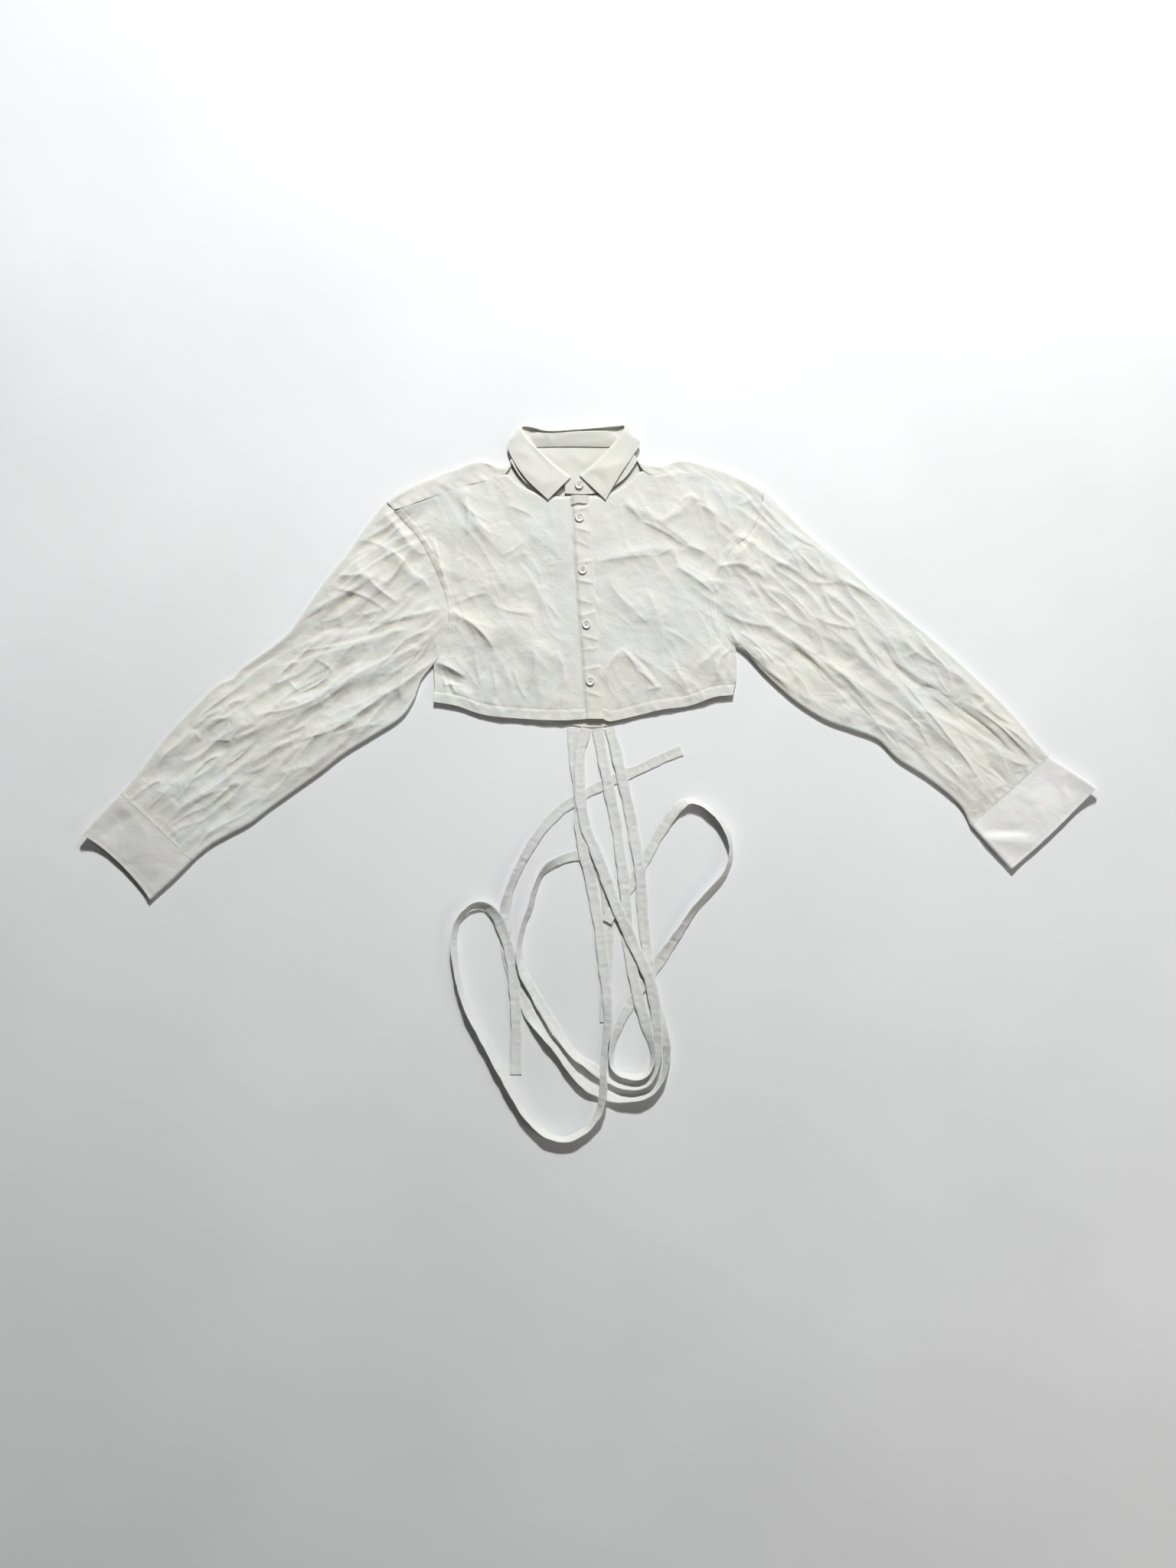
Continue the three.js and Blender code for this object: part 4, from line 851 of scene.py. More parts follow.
def make_lights():
    """A cool key from behind, a weak wash on the floor there, a warm fill, and a ring that looks outwards.

    The ring faces away from the garment, so that the floor behind it is pale from every side.
    """
    area_light("key", (0.2, 3.15, 2.8), (0.0, 0.0, 0.0), 0.32, 184, (0.98, 0.995, 1.0))
    area_light("wash", (0.3, 1.0, 1.25), (0.2, 0.7, 0.0), 0.24, 5.5, (1.0, 1.0, 1.0))
    area_light("fill", (2.1, -1.2, 1.5), (0.2, -0.2, 0), 1.0, 12, (1.0, 0.955, 0.91))
    for number in range(SURROUND):
        turn = math.tau * number / SURROUND
        way = Vector((math.cos(turn), math.sin(turn), 0))
        place = SURROUND_OUT * way + Vector((0, 0, SURROUND_HIGH))
        area_light(f"surround_{number + 1}", place, place + way, 2.0, 330, (1.0, 1.0, 1.0))


def make_studio():
    """The studio's walls: pale near the floor, dim overhead."""
    world = bpy.data.worlds.new("studio")
    world.use_nodes = True
    tree = world.node_tree
    way = add_node(tree, "TexCoord").outputs["Generated"]
    height = add_node(tree, "SeparateXYZ", {"Vector": way}).outputs["Z"]
    level = add_node(tree, "MapRange", {"Value": height, "From Min": 0.0, "From Max": 0.22, "To Min": 0.62,
                                        "To Max": 0.05}, interpolation_type="SMOOTHSTEP")
    tree.nodes["Background"].inputs["Color"].default_value = (1.0, 0.96, 0.92, 1)
    tree.links.new(level.outputs["Result"], tree.nodes["Background"].inputs["Strength"])
    bpy.context.scene.world = world


FLOOR_HALF = 14.0
FLOOR_BELOW = 0.0004     # gap under the garment's underside


def make_floor():
    mesh = bpy.data.meshes.new("floor")
    ways = ((-1, -1), (1, -1), (1, 1), (-1, 1))
    corners = [(across * FLOOR_HALF, away * FLOOR_HALF, 0) for across, away in ways]
    mesh.from_pydata(corners, [], [(0, 1, 2, 3)])
    floor = add_object("floor", mesh)
    floor.location = (0, 0, -FLOOR_BELOW)
    floor.data.materials.append(plain("pale_paper", (0.86, 0.87, 0.875), 0.9, 0.1, grain=3))


make_lights()
make_studio()
make_floor()


# ---- Ties ----

# Across, down, lift of the lowest edge, turn towards standing on edge in degrees.
TIES = {
    "tie_a": [
        (748, 951, 0, 0), (750, 985, 0, 0), (754, 1020, 1.2, 0), (757, 1045, 2.0, 0), (758, 1080, 1.6, 0),
        (763, 1118, 2.4, 0), (771, 1147, 1.2, 0), (777, 1180, 0.6, 0), (782, 1208, 1.6, 0),
        (786, 1240, 2.0, 0), (790, 1272, 2.0, 0), (793, 1300, 2.0, 10), (794, 1334, 1.0, 40),
        (790, 1371, 1.0, 55), (788, 1396, 5.0, 50), (788, 1412, 7.6, 45), (787, 1432, 7.6, 45),
        (782, 1452, 3.0, 55), (770, 1471, 0, 60), (757, 1480, 0, 62), (738, 1487, 0, 64),
        (710, 1479, 0, 66), (684, 1453, 0, 66), (660, 1412, 0, 66), (634, 1364, 0, 66),
        (612, 1321, 0, 64), (599, 1282, 0, 62), (593, 1236, 0, 60), (597, 1206, 0, 60),
        (613, 1186, 0, 55), (633, 1183, 0.8, 42), (648, 1196, 2.8, 22), (658, 1218, 2.6, 6),
        (667, 1250, 2.2, 0), (672, 1288, 2.6, 0), (674, 1330, 2.6, 0), (674, 1366, 0.6, 0),
        (674, 1403, 0, 0)],
    "tie_b": [
        (765, 951, 1.4, 0), (757.5, 985, 2.0, 0), (757, 1020, 3.4, 0), (759, 1045, 4.0, 0),
        (765, 1080, 3.6, 0), (776, 1108, 3.8, 0), (785, 1130, 4.2, 0), (795, 1157, 4.2, 0),
        (804, 1182, 5.0, 0), (814, 1204, 4.6, 0), (826, 1230, 2.6, 0), (838, 1255, 4.5, 0),
        (847, 1277, 4.5, 0), (854, 1305, 2.8, 10), (858, 1335, 1.8, 20), (860, 1365, 0.6, 40),
        (857, 1392, 0, 60), (849, 1410, 0, 66), (838, 1418, 0, 66), (822, 1419, 0, 60), (806, 1413, 0, 35),
        (790, 1405, 0, 22), (774, 1394, 0, 35), (748, 1375, 0, 45), (730, 1350, 0, 30), (714, 1325, 0, 20),
        (696, 1294, 0, 20), (682, 1266, 0, 45), (678, 1241, 0, 62), (683, 1210, 0, 62), (692, 1186, 0, 62),
        (698, 1164, 0, 62), (706, 1143, 0, 60), (720, 1129, 0, 35), (741, 1120, 0, 6), (762, 1118, 0, 0),
        (780, 1128, 0, 0), (790, 1152, 0, 0), (793.5, 1182, 0, 0), (794, 1210, 0, 0), (794, 1240, 0, 0),
        (793, 1275, 0, 0), (791, 1306, 0, 0), (791, 1335, 0, 0)],
    "tie_c": [
        (780.5, 951, 0, 0), (786, 985, 0.6, 0), (791, 1008, 2.0, 0), (797, 1038, 1.6, 0), (805, 1080, 0, 0),
        (811, 1120, 1.4, 0), (815, 1150, 2.6, 0), (817, 1176, 3.2, 0), (818, 1190, 3.2, 0),
        (819, 1206, 1.6, 0), (821, 1235, 0, 0),
        (826, 1268, 1.2, 0), (832, 1296, 2.0, 0), (838, 1318, 1.8, 5), (845, 1342, 0.4, 20),
        (851, 1364, 0, 50), (853, 1380, 0, 62), (849, 1396, 0, 66), (840, 1404, 0, 66), (829, 1406, 0, 66),
        (817, 1404, 0, 66), (806, 1399, 0, 66), (799, 1389, 0, 66), (798, 1374, 0, 62), (802, 1354, 0, 45),
        (811, 1332, 0, 20), (823, 1312, 0, 0), (838, 1290, 0, 0), (854, 1266, 0, 0), (870, 1243, 0, 12),
        (886, 1219, 0, 35), (900, 1197, 0, 45), (914, 1179, 0, 50), (931, 1160, 0, 55), (947, 1140, 0, 60),
        (954, 1117, 0, 64), (951, 1092, 0, 66), (939, 1070, 0, 66), (921, 1053, 0, 62), (902, 1046, 0, 50),
        (888, 1052, 0, 30), (873, 1070, 0, 10), (858, 1095, 0, 0), (838, 1131, 0, 0), (824, 1156, 0, 0),
        (808, 1178, 1.0, 0), (800, 1191, 2.0, 0), (793, 1204, 3.3, 0)],
    "tie_d": [
        (796, 951, 0, 0), (804, 980, 0.8, 0), (810, 1004, 2.0, 0), (816, 1030, 1.6, 0), (825, 1075, 0, 0),
        (832, 1112, 1.6, 0), (836, 1140, 2.4, 0), (838, 1172, 1.0, 0), (841, 1206, 0, 0), (844, 1235, 0, 0),
        (847, 1262, 2.4, 0), (852, 1290, 1.8, 0), (859, 1318, 0, 5), (866, 1345, 0, 20), (871, 1370, 0, 45),
        (869, 1394, 0, 62), (861, 1414, 0, 66), (849, 1427, 0, 66), (830, 1434, 0, 66), (810, 1434, 0, 45),
        (790, 1430, 0, 22), (770, 1420, 0, 35), (751, 1403, 0, 50), (733, 1378, 0, 50), (714, 1355, 0, 55),
        (696, 1330, 0, 16), (682, 1306, 0, 2), (671, 1282, 0, 0), (664, 1250, 0, 0), (660, 1218, 0, 0),
        (659, 1194, 0, 6), (664, 1168, 0, 38), (674, 1142, 0, 40), (688, 1113, 0, 25), (707, 1085, 0, 10),
        (730, 1060, 0, 0), (755, 1042, 0, 0), (780, 1029, 0, 0), (805, 1017, 0, 0), (835, 1004, 0, 0),
        (862, 992, 0, 0), (890, 980, 0, 0)],
}

STITCHES = []     # (point, run, up) of each stitch, gathered as the pieces are made
STITCH_LONG = 2.1
STITCH_STEP = 2.9
STITCH_THICK = 0.34
STITCH_LOOK = 0.8     # how far ahead of a stitch its direction is taken


def stitch_along(points, ups=None):
    """Puts stitches along a line of points, each lying on its point of the cloth."""
    points = np.asarray(points, float)
    gaps = np.linalg.norm(np.diff(points, axis=0), axis=1)
    reach = np.concatenate([[0], np.cumsum(gaps)])
    places = np.arange(STITCH_STEP, reach[-1] - STITCH_STEP, STITCH_STEP)

    def at(places, values):
        return np.stack([np.interp(places, reach, values[:, axis]) for axis in range(3)], 1)
    spots = at(places, points)
    runs = at(places + STITCH_LOOK, points) - spots
    runs /= np.maximum(np.linalg.norm(runs, axis=1, keepdims=True), 1e-9)
    up = np.tile(UP, (len(spots), 1)) if ups is None else at(places, np.asarray(ups))
    STITCHES.extend(zip(spots, runs, up))


def tie_section():
    """Across and up of the points round a tie's section: edges a little thick, middle a little hollow."""
    half, thick = TIE_WIDE / 2, TIE_THICK / 2
    return [(-half, 0), (-half + 0.5, 0.8 * thick), (-half + 2.0, 1.0 * thick), (-2.5, 0.7 * thick),
            (0, 0.6 * thick), (2.5, 0.7 * thick), (half - 2.0, 1.0 * thick), (half - 0.5, 0.8 * thick),
            (half, 0), (half - 0.8, -thick), (0, -thick), (-half + 0.8, -thick)]


TIE_SECTIONS = 24      # sections from one row of its table to the next
TIE_LIE = 0.6          # height of the middle of a flat tie's thickness
TIE_LOWEST = 0.03
# Waves of the edges' lifts, of the edges' pulls and of the fine wrinkles: length over 2 pi, and height.
TIE_LIFTS = ((5.3, 0.22), (2.7, 0.16), (13.0, 0.3))
TIE_PULLS = ((3.4, 0.2), (6.2, 0.4), (15.0, 0.45))
TIE_WRINKLES = ((1.3, 0.12), (1.9, 0.14), (3.4, 0.12))


def make_tie(name, rows):
    middle = along(rows, np.linspace(0, 1, (len(rows) - 1) * TIE_SECTIONS + 1))
    x, y = on_board(middle[:, 0], middle[:, 1])
    turn = np.radians(np.clip(middle[:, 3], 0, 90))
    half, thick = TIE_WIDE / 2, TIE_THICK / 2
    z = np.maximum(middle[:, 2], 0) + half * np.sin(turn) + TIE_LIE * np.cos(turn)
    dx, dy = np.gradient(x), np.gradient(y)
    length = np.hypot(dx, dy)
    aside = np.stack([-dy / length, dx / length, np.zeros_like(dx)], 1)
    wide_way = aside * np.cos(turn)[:, None] + UP * np.sin(turn)[:, None]
    thick_way = -aside * np.sin(turn)[:, None] + UP * np.cos(turn)[:, None]
    centre = grid_points(x, y, z)
    chance = np.random.default_rng(len(rows))
    reach = reach_along(x, y)

    def waves(amounts):
        return sum(amount * np.sin(reach / size + chance.uniform(0, 6.3)) for size, amount in amounts)

    lifts = [waves(TIE_LIFTS) for _ in range(2)]
    pulls = [waves(TIE_PULLS) for _ in range(2)]
    wrinkle = waves(TIE_WRINKLES)
    lines = []
    for wide, high in tie_section():
        share = (wide / half + 1) / 2
        side = 2 * share - 1     # -1 at one edge, 1 at the other
        lift = np.maximum(mix(lifts[0], lifts[1], share) * abs(side) + 0.2 * abs(side), 0)
        if high > 0:
            lift = lift + wrinkle * (1 - side ** 4) * np.sin(reach / 11 + 2.2 * share)
        pull = mix(pulls[0], pulls[1], share) * side ** 2
        lines.append(centre + wide_way * (wide + pull)[:, None] + thick_way * (high + lift)[:, None])
    points = np.stack(lines, 1)
    points[..., 2] = np.maximum(points[..., 2], TIE_LOWEST)
    count, sides = points.shape[:2]
    faces = quads(point_numbers(count, sides))[:, ::-1].tolist()
    faces.append(list(range(sides)))
    faces.append(list(range((count - 1) * sides, count * sides))[::-1])
    piece = make_object(name + "_cloth", points.reshape(-1, 3), faces)
    dress(piece, [name], CLOTH["tie"])
    stitch_along(centre + wide_way * (half - 1.6) + thick_way * (thick + 0.05), thick_way)


for tie_name, tie_rows in TIES.items():
    make_tie(tie_name, tie_rows)


# ---- Body ----

FRONTS = {
    "left": {
        "top": seam_line([(513, 662.5), (548, 651), (597, 633), (640, 622), (662, 618),
                          (676, 630), (692, 639), (714, 647), (764, 648)]),
        "bottom": seam_line([(567, 917), (596, 922), (634, 934), (684, 939), (735, 941), (782, 938)]),
        "middle": seam_line([(764, 648), (770, 760), (782, 938)]),
    },
    "right": {
        "top": seam_line([(769, 648), (782, 647), (803, 641), (822, 628), (838, 615),
                          (888, 613.5), (924, 620), (956, 639), (995.5, 652)]),
        "bottom": seam_line([(788, 939), (799, 942), (835, 934), (864, 927), (900, 922), (932, 911),
                             (957, 908)]),
        "middle": seam_line([(769, 648), (775, 760), (788, 939)]),
    },
}
SEAM_BAND = 8.0       # width of the doubled cloth along an armhole
SEAM_EXTRA = 0.35     # how far it stands out
ARM_OVERLAP = 1.3     # how far a front reaches over the armhole's seam

# Where the yoke folds over the shoulders, and the shoulder seams, from the armholes to the neck.
SHOULDER_FOLDS = {
    "left": seam_line([(505, 655), (524, 642), (544, 631), (570, 621), (596, 612), (623, 602), (643, 608),
                       (656, 610)]),
    "right": seam_line([(844, 605), (863, 607), (888, 601), (924, 608), (950, 617), (974, 627),
                        (997, 640)]),
}
SHOULDERS = {
    "left": seam_line([(513, 664.6), (530, 660), (548, 653), (573, 644), (597, 635), (625, 628), (645, 623),
                       (657, 620)]),
    "right": seam_line([(844, 616), (862, 617), (888, 615.5), (923, 622), (949, 638), (973, 647),
                        (995, 653)]),
}


def nearest(x, y, line, count=160):
    """Distance of each point from a curve."""
    best = np.full(x.shape, 1e9)
    for px, py in zip(*line(np.linspace(0, 1, count))):
        best = np.minimum(best, (x - px) ** 2 + (y - py) ** 2)
    return np.sqrt(best)


def pucker(distance, place, size, reach, amount):
    """Small ripples along a stitched line, which die away from it."""
    ripple = np.sin(place / size + 0.8 * np.sin(place / (size * 2.7)))
    return amount * ripple * np.exp(-(distance / reach) ** 2)


def groove(distance, width, depth):
    """A rounded groove along a line."""
    return depth * np.exp(-(distance / width) ** 2)


def shoulder_fall(x, y, z):
    """Brings a height down to the flat edge where the cloth turns over the shoulders."""
    reach = np.minimum(nearest(x, y, SHOULDER_FOLDS["left"]), nearest(x, y, SHOULDER_FOLDS["right"]))
    return mix(FOLDED_TOP, z, smooth(reach / 5))


def front_face(side, x, y):
    """Height of a front's outer face, with its hem, seams and puckers."""
    shape = FRONTS[side]
    z = upper_face(x, y)
    hem = nearest(x, y, shape["bottom"])
    arm = nearest(x, y, ARMHOLES[side])
    if side == "right":
        # This front lies flatter, away from its seams.
        z = z - 0.3 * smooth(np.minimum(arm, hem) / 30) * (z - LIE - FRONT_LEVEL)
    z = z + HEM_EXTRA * smooth((HEM + 0.8 - hem) / 1.6)
    z = z - groove(hem - HEM, 1.5, 0.55) + pucker(hem - HEM, x, 3.4, 6, 0.35)
    z = z + SEAM_EXTRA * smooth((SEAM_BAND + 0.6 - arm) / 1.4)
    z = z - groove(arm - SEAM_BAND, 1.3, 0.35) + pucker(arm - 4, y, 3.1, 7, 0.3)
    middle = nearest(x, y, shape["middle"])
    z = z + pucker(middle - 5, y, 5.0, 12, 0.28)
    # The top edge dips under the yoke and the collar.
    return shoulder_fall(x, y, z) - 1.2 * smooth((4.6 - nearest(x, y, shape["top"])) / 3.2)


FRONT_DEEP = 290      # depth of a front, which sets its rows of cells


def make_front(side):
    shape = FRONTS[side]
    outer_edge = side_edge(side, 1, ARM_OVERLAP)
    edges = {
        "top": shape["top"],
        "bottom": shape["bottom"],
        "left": outer_edge if side == "left" else shape["middle"],
        "right": shape["middle"] if side == "left" else outer_edge,
    }
    columns = int(line_length(shape["bottom"]) / FRONT_CELL) // 2 * 2 + 9
    rows = int(FRONT_DEEP / FRONT_CELL) // 2 * 2 + 1
    x, y = patch(edges, np.linspace(0, 1, columns), np.linspace(0, 1, rows))
    z = front_face(side, x, y)
    edge = nearest(x, y, lambda t: armhole(side, t, ARM_OVERLAP), 400)
    z = z - 0.5 * smooth((1.6 - edge) / 1.6)
    # The depth of the valleys is kept for the material's painted shade.
    piece = wall(f"front_{side}_cloth", grid_points(x, y, z), grid_points(x, y, z - PLY), folds=painted_shade_mask(z))
    dress(piece, [f"front_{side}"], CLOTH["body"])
    return piece


front_left = make_front("left")
front_right = make_front("right")


STITCH_LIFT = 0.1     # a stitch's middle over the face of the cloth


def stitch_on_front(side, points):
    x, y = points
    stitch_along(grid_points(x, y, front_face(side, x, y) + STITCH_LIFT))


def inset_line(line, distance, count=300):
    """A curve moved to its left by a distance, on the board's plane."""
    t = np.linspace(0, 1, count)
    x, y = line(t)
    dx, dy = np.gradient(x), np.gradient(y)
    length = np.hypot(dx, dy)
    return x - dy / length * distance, y + dx / length * distance


for front_side in ("left", "right"):
    stitch_on_front(front_side, inset_line(FRONTS[front_side]["bottom"], HEM - 0.6))

# Across and down of each button. The first is on the collar stand.
BUTTON_SPOTS = [(756.5, 634), (757, 677), (761, 745), (766, 816), (771, 890)]

# Creases across the buttoned band, which pull at the buttons.
PLACKET_CREASES = [
    (748, 668, 772, 662, 0, 2, 4, 2.2), (750, 690, 776, 697, 0, 4, 2, 1.8),
    (748, 706, 774, 716, 0, 3, 2, 1.4), (750, 738, 778, 732, 0, 2, 3, 1.8),
    (752, 758, 780, 764, 0, 4, 2, 2.0), (752, 782, 776, 790, 0, 2, 3, 1.4),
    (756, 806, 782, 798, 0, 2, 4, 1.8), (758, 830, 784, 838, 0, 3, 2, 1.8),
    (756, 850, 786, 846, 0, 2, 3, 1.3), (760, 876, 788, 870, 0, 2, 3, 1.8),
    (762, 902, 790, 912, 0, 3, 2, 1.6),
]
PLACKET_COLUMNS = 18
PLACKET_ROWS = 301
PLACKET_SEAT = 8.0       # height of the band's face under its buttons
PLACKET_STITCH = 2.2     # from each edge to the stitches


def bunch(x, y):
    """A small crushed fold of the band's cloth, just under the collar stand."""
    across, down = x + BOARD_ACROSS, BOARD_DOWN - y
    low_edge = 660.5 - 0.1 * (across - 752) + 0.8 * np.sin(across / 3.1)
    inside = smooth((low_edge - down) / 1.2) * smooth((down - 640) / 6)
    return 2.6 * inside * smooth((across - 735) / 4) * smooth((768 - across) / 3)


def placket_points(share):
    """The band's outer face: share 0 at its free edge, 1 at the seam with the right front."""
    v = np.linspace(0, 1, PLACKET_ROWS)
    ex, ey = FRONTS["right"]["middle"](v)
    x = ex + 1.0 - PLACKET * (1 - share)
    z = LIE + 2.5 + 1.2 * (upper_face(x, ey) - LIE)
    z = z + pucker(np.full_like(ey, min(share, 1 - share) * PLACKET - 2), ey, 4.2, 7, 0.3)
    z = z + 0.8 * fold_sum(PLACKET_CREASES, x, ey, 1.1) + 0.5 * BODY_MIDDLING(x, ey) + bunch(x, ey)
    for _, down in BUTTON_SPOTS[1:]:
        z = mix(z, PLACKET_SEAT, 0.9 * np.exp(-((BOARD_DOWN - ey - down) / 8) ** 2))
    return x, ey, z


def make_placket():
    shares = np.linspace(0, 1, PLACKET_COLUMNS)
    columns = [placket_points(share) for share in shares]
    x, y, z = (np.stack(values, 1) for values in zip(*columns))
    edge = np.minimum(shares, 1 - shares) * PLACKET
    z = z - groove(edge - PLACKET_STITCH, 0.9, 0.35)[None, :] - 1.7 * (1 - smooth(edge / 4.5))[None, :]
    piece = wall("placket_cloth", grid_points(x, y, z), grid_points(x, y, z - BAND))
    dress(piece, ["placket"], CLOTH["cream"])
    for share in (PLACKET_STITCH / PLACKET, 1 - PLACKET_STITCH / PLACKET):
        stitch_along(grid_points(*placket_points(share)))


make_placket()


def yoke_seam(u):
    """The seam between the yoke's rear half and the back, hidden under the fronts."""
    ax, ay = ARMHOLES["left"](YOKE_STEPS / ARMHOLE_STEPS)
    bx, by = ARMHOLES["right"](YOKE_STEPS / ARMHOLE_STEPS)
    u = np.asarray(u, float)
    return mix(ax, bx, u), mix(ay, by, u) + 9 * 4 * u * (1 - u)


BACK_TOP = 0.75       # height of the lower ply's upper face
BACK_HEM = 0.45       # how much thicker its turned hem is


def make_back():
    bottom = seam_line([(567, 916), (634, 932), (700, 938), (740, 945), (770, 949),
                        (798, 946), (835, 933), (900, 920), (957, 907)])
    edges = {
        "top": yoke_seam,
        "bottom": bottom,
        "left": side_edge("left", YOKE_STEPS),
        "right": side_edge("right", YOKE_STEPS),
    }
    x, y = patch(edges, np.linspace(0, 1, 110), np.linspace(0, 1, 66))
    hem = nearest(x, y, bottom)
    z = BACK_TOP + BACK_HEM * smooth((HEM + 0.8 - hem) / 1.6)
    piece = wall("back_cloth", grid_points(x, y, z), grid_points(x, y, np.zeros_like(z)))
    dress(piece, ["back"], CLOTH["body"])


make_back()

# Across and down of the folded edge (or just behind the neckline), the same of the shoulder seam (or the
# neckline), and 1 where the yoke wraps over to the front.
YOKE = [
    (505, 655, 513, 664.6, 1), (524, 642, 530, 660, 1), (544, 631, 548, 653, 1), (570, 621, 573, 644, 1),
    (596, 612, 597, 635, 1), (623, 602, 625, 628, 1), (643, 608, 645, 623, 1), (656, 610, 657, 620, 1),
    (679, 604, 678, 592, 0), (690, 600, 688, 586, 0), (718, 595, 718, 581, 0), (750, 594, 750, 580.5, 0),
    (782, 595, 782, 581, 0), (808, 598, 808, 586, 0), (823, 602, 823, 592, 0), (844, 605, 844, 616, 1),
    (863, 607, 862, 617, 1), (888, 601, 888, 615.5, 1), (924, 608, 923, 622, 1), (950, 617, 949, 638, 1),
    (974, 627, 973, 647, 1), (997, 640, 995, 653, 1),
]
YOKE_CRUMPLE = Crumple(61, 11, 1.4, 20, 0.7)
NECK_CREASES = [
    (742, 588, 774, 616, 0, 5, 7, 1.6), (776, 590, 750, 618, 2, 7, 5, 1.3),
    (700, 589, 738, 606, 3, 5, 8, 1.2), (790, 589, 812, 600, -2, 5, 7, 1.0),
    (722, 600, 748, 622, 0, 5, 5, 1.0),
]


def neck_lining(x, y):
    """Height of the yoke's inner face in the neck: up at the stand's seam, flat under the fronts."""
    down = BOARD_DOWN - y
    folds = np.maximum(fold_sum(NECK_CREASES, x, y, 1.2), 0)
    return BACK_TOP + (1.3 + 0.7 * folds) * (1 - smooth((down - 596) / 34))


YOKE_COLUMNS = 190
YOKE_UPPER_ROWS = 12
YOKE_LOWER_ROWS = 30
YOKE_LAP = 3.0                         # how far the yoke laps over the fronts past the shoulder seams
YOKE_ANGLES = (55, 28, 0, -28, -55)    # of the rows round its fold


def yoke_faces():
    """The yoke's two faces as grids: from the shoulder seams up to the fold, round it and back below."""
    fine = along(YOKE, np.linspace(0, 1, YOKE_COLUMNS))
    wrap = smooth((fine[:, 4] - 0.25) / 0.5)
    ox, oy = on_board(fine[:, 0], fine[:, 1])
    sx, sy = on_board(fine[:, 2], fine[:, 3])
    u = (fine[:, 0] - YOKE[0][0]) / (YOKE[-1][0] - YOKE[0][0])
    bx, by = yoke_seam(u)
    ends = {"left": u <= 0.0001, "right": u >= 0.9999}
    outer, inner = [], []

    def lower(share):
        x, y = mix(ox, bx, share), mix(oy, by, share)
        for side, mask in ends.items():
            ax, ay = ARMHOLES[side](share * YOKE_STEPS / ARMHOLE_STEPS)
            x, y = np.where(mask, ax, x), np.where(mask, ay, y)
        return x, y
    reach = np.hypot(bx - ox, by - oy)
    seam_reach = np.maximum(np.hypot(sx - ox, sy - oy), 1e-6)
    bend = np.clip(BEND / seam_reach, 0, 0.6)
    # From the shoulder seam to the start of the bend.
    for share in np.linspace(0, 1, YOKE_UPPER_ROWS):
        t = mix(-YOKE_LAP / seam_reach * wrap, 1 - bend, share)
        x, y = mix(sx, ox, t), mix(sy, oy, t)
        from_seam = np.hypot(x - sx, y - sy)
        raised = 0.25 + 0.35 * pucker(0 * x, x + y, 3.0, 7, 1.0) * smooth((9 - from_seam) / 4)
        raised = raised + 0.9 * YOKE_CRUMPLE(x, y) - 0.4 * smooth((-t * seam_reach - 1.4) / 1.6)
        z = shoulder_fall(x, y, upper_face(x, y)) + raised
        z = mix(neck_lining(x, y), z, wrap)
        outer.append(grid_points(x, y, z))
        inner.append(grid_points(x, y, z - PLY))
    # Round the bend.
    half = FOLDED_TOP / 2
    inset = np.stack([bx - ox, by - oy], 1) / reach[:, None] * PLY
    for step, angle in enumerate(np.radians(YOKE_ANGLES), 1):
        back = BEND * (1 - math.cos(angle)) / reach
        x, y = mix(ox, bx, back), mix(oy, by, back)
        t = 1 - bend + bend * step / (len(YOKE_ANGLES) + 1)
        x, y = mix(mix(sx, ox, t), x, wrap), mix(mix(sy, oy, t), y, wrap)
        outer.append(grid_points(x, y, mix(neck_lining(x, y), half + half * math.sin(angle), wrap)))
        low = mix(0.1, half + (half - PLY) * math.sin(angle), wrap)
        moved = inset * math.cos(angle)
        inner.append(grid_points(x + moved[:, 0] * wrap, y + moved[:, 1] * wrap, low))
    # From the bend to the seam with the back.
    for share in np.linspace(0, 1, YOKE_LOWER_ROWS)[1:] ** 1.6:
        x, y = lower(mix(BEND / reach, 1, share))
        outer.append(grid_points(x, y, mix(neck_lining(x, y), 0.0, wrap)))
        inner.append(grid_points(x, y, mix(0.05, PLY, wrap)))
    return np.stack(outer, 1), np.stack(inner, 1)


yoke = wall("yoke_cloth", *yoke_faces())
dress(yoke, ["yoke"], CLOTH["cream"])


# ---- Sleeves and cuffs ----

# Across and down of the outer edge and of the under edge, from the armhole to the cuff.
SLEEVES = {
    "left": [(505, 655, 567, 868), (480, 687, 550, 889), (455, 723, 541, 914), (427, 757, 524, 938),
             (402, 793, 490, 960), (381, 822, 451, 984), (353, 846, 420, 1008), (309, 876, 385, 1033),
             (284, 895, 353, 1056), (256, 922, 328, 1075), (222, 957, 302, 1089), (187, 1003, 276, 1104),
             (160, 1035, 253, 1123)],
    "right": [(997, 640, 960, 845), (1025, 668, 978, 858), (1052, 695, 995, 877), (1086, 724, 1019, 900),
              (1120, 753, 1046, 922), (1155, 783, 1080, 942), (1190, 812, 1114, 954),
              (1225, 841, 1146, 967), (1259, 872, 1171, 991), (1294, 905, 1208, 1015),
              (1326, 938, 1238, 1038), (1350, 967, 1256, 1056), (1368, 987, 1266, 1077)],
}

# Where the outer edge dips in: across, down, reach, depth.
NOTCHES = {"left": (303, 880, 12, 5.0), "right": (1136, 772, 14, 2.0)}

# Outer edge, under edge, bow, lift of the outer edge, lift of the under edge.
CUFFS = {
    "left": [(159.4, 1035.7, 252.4, 1123.7, 0, 2.6, 2.6), (134, 1062, 231, 1145, 2, 7, 2.6),
             (109, 1088, 198, 1175, 6, 14, 3)],
    "right": [(1368.7, 987.6, 1266.7, 1077.6, 0, 2.6, 2.6), (1399, 1007, 1292, 1106, 2, 6, 2.6),
              (1430, 1028, 1319, 1135, 3, 12, 4)],
}


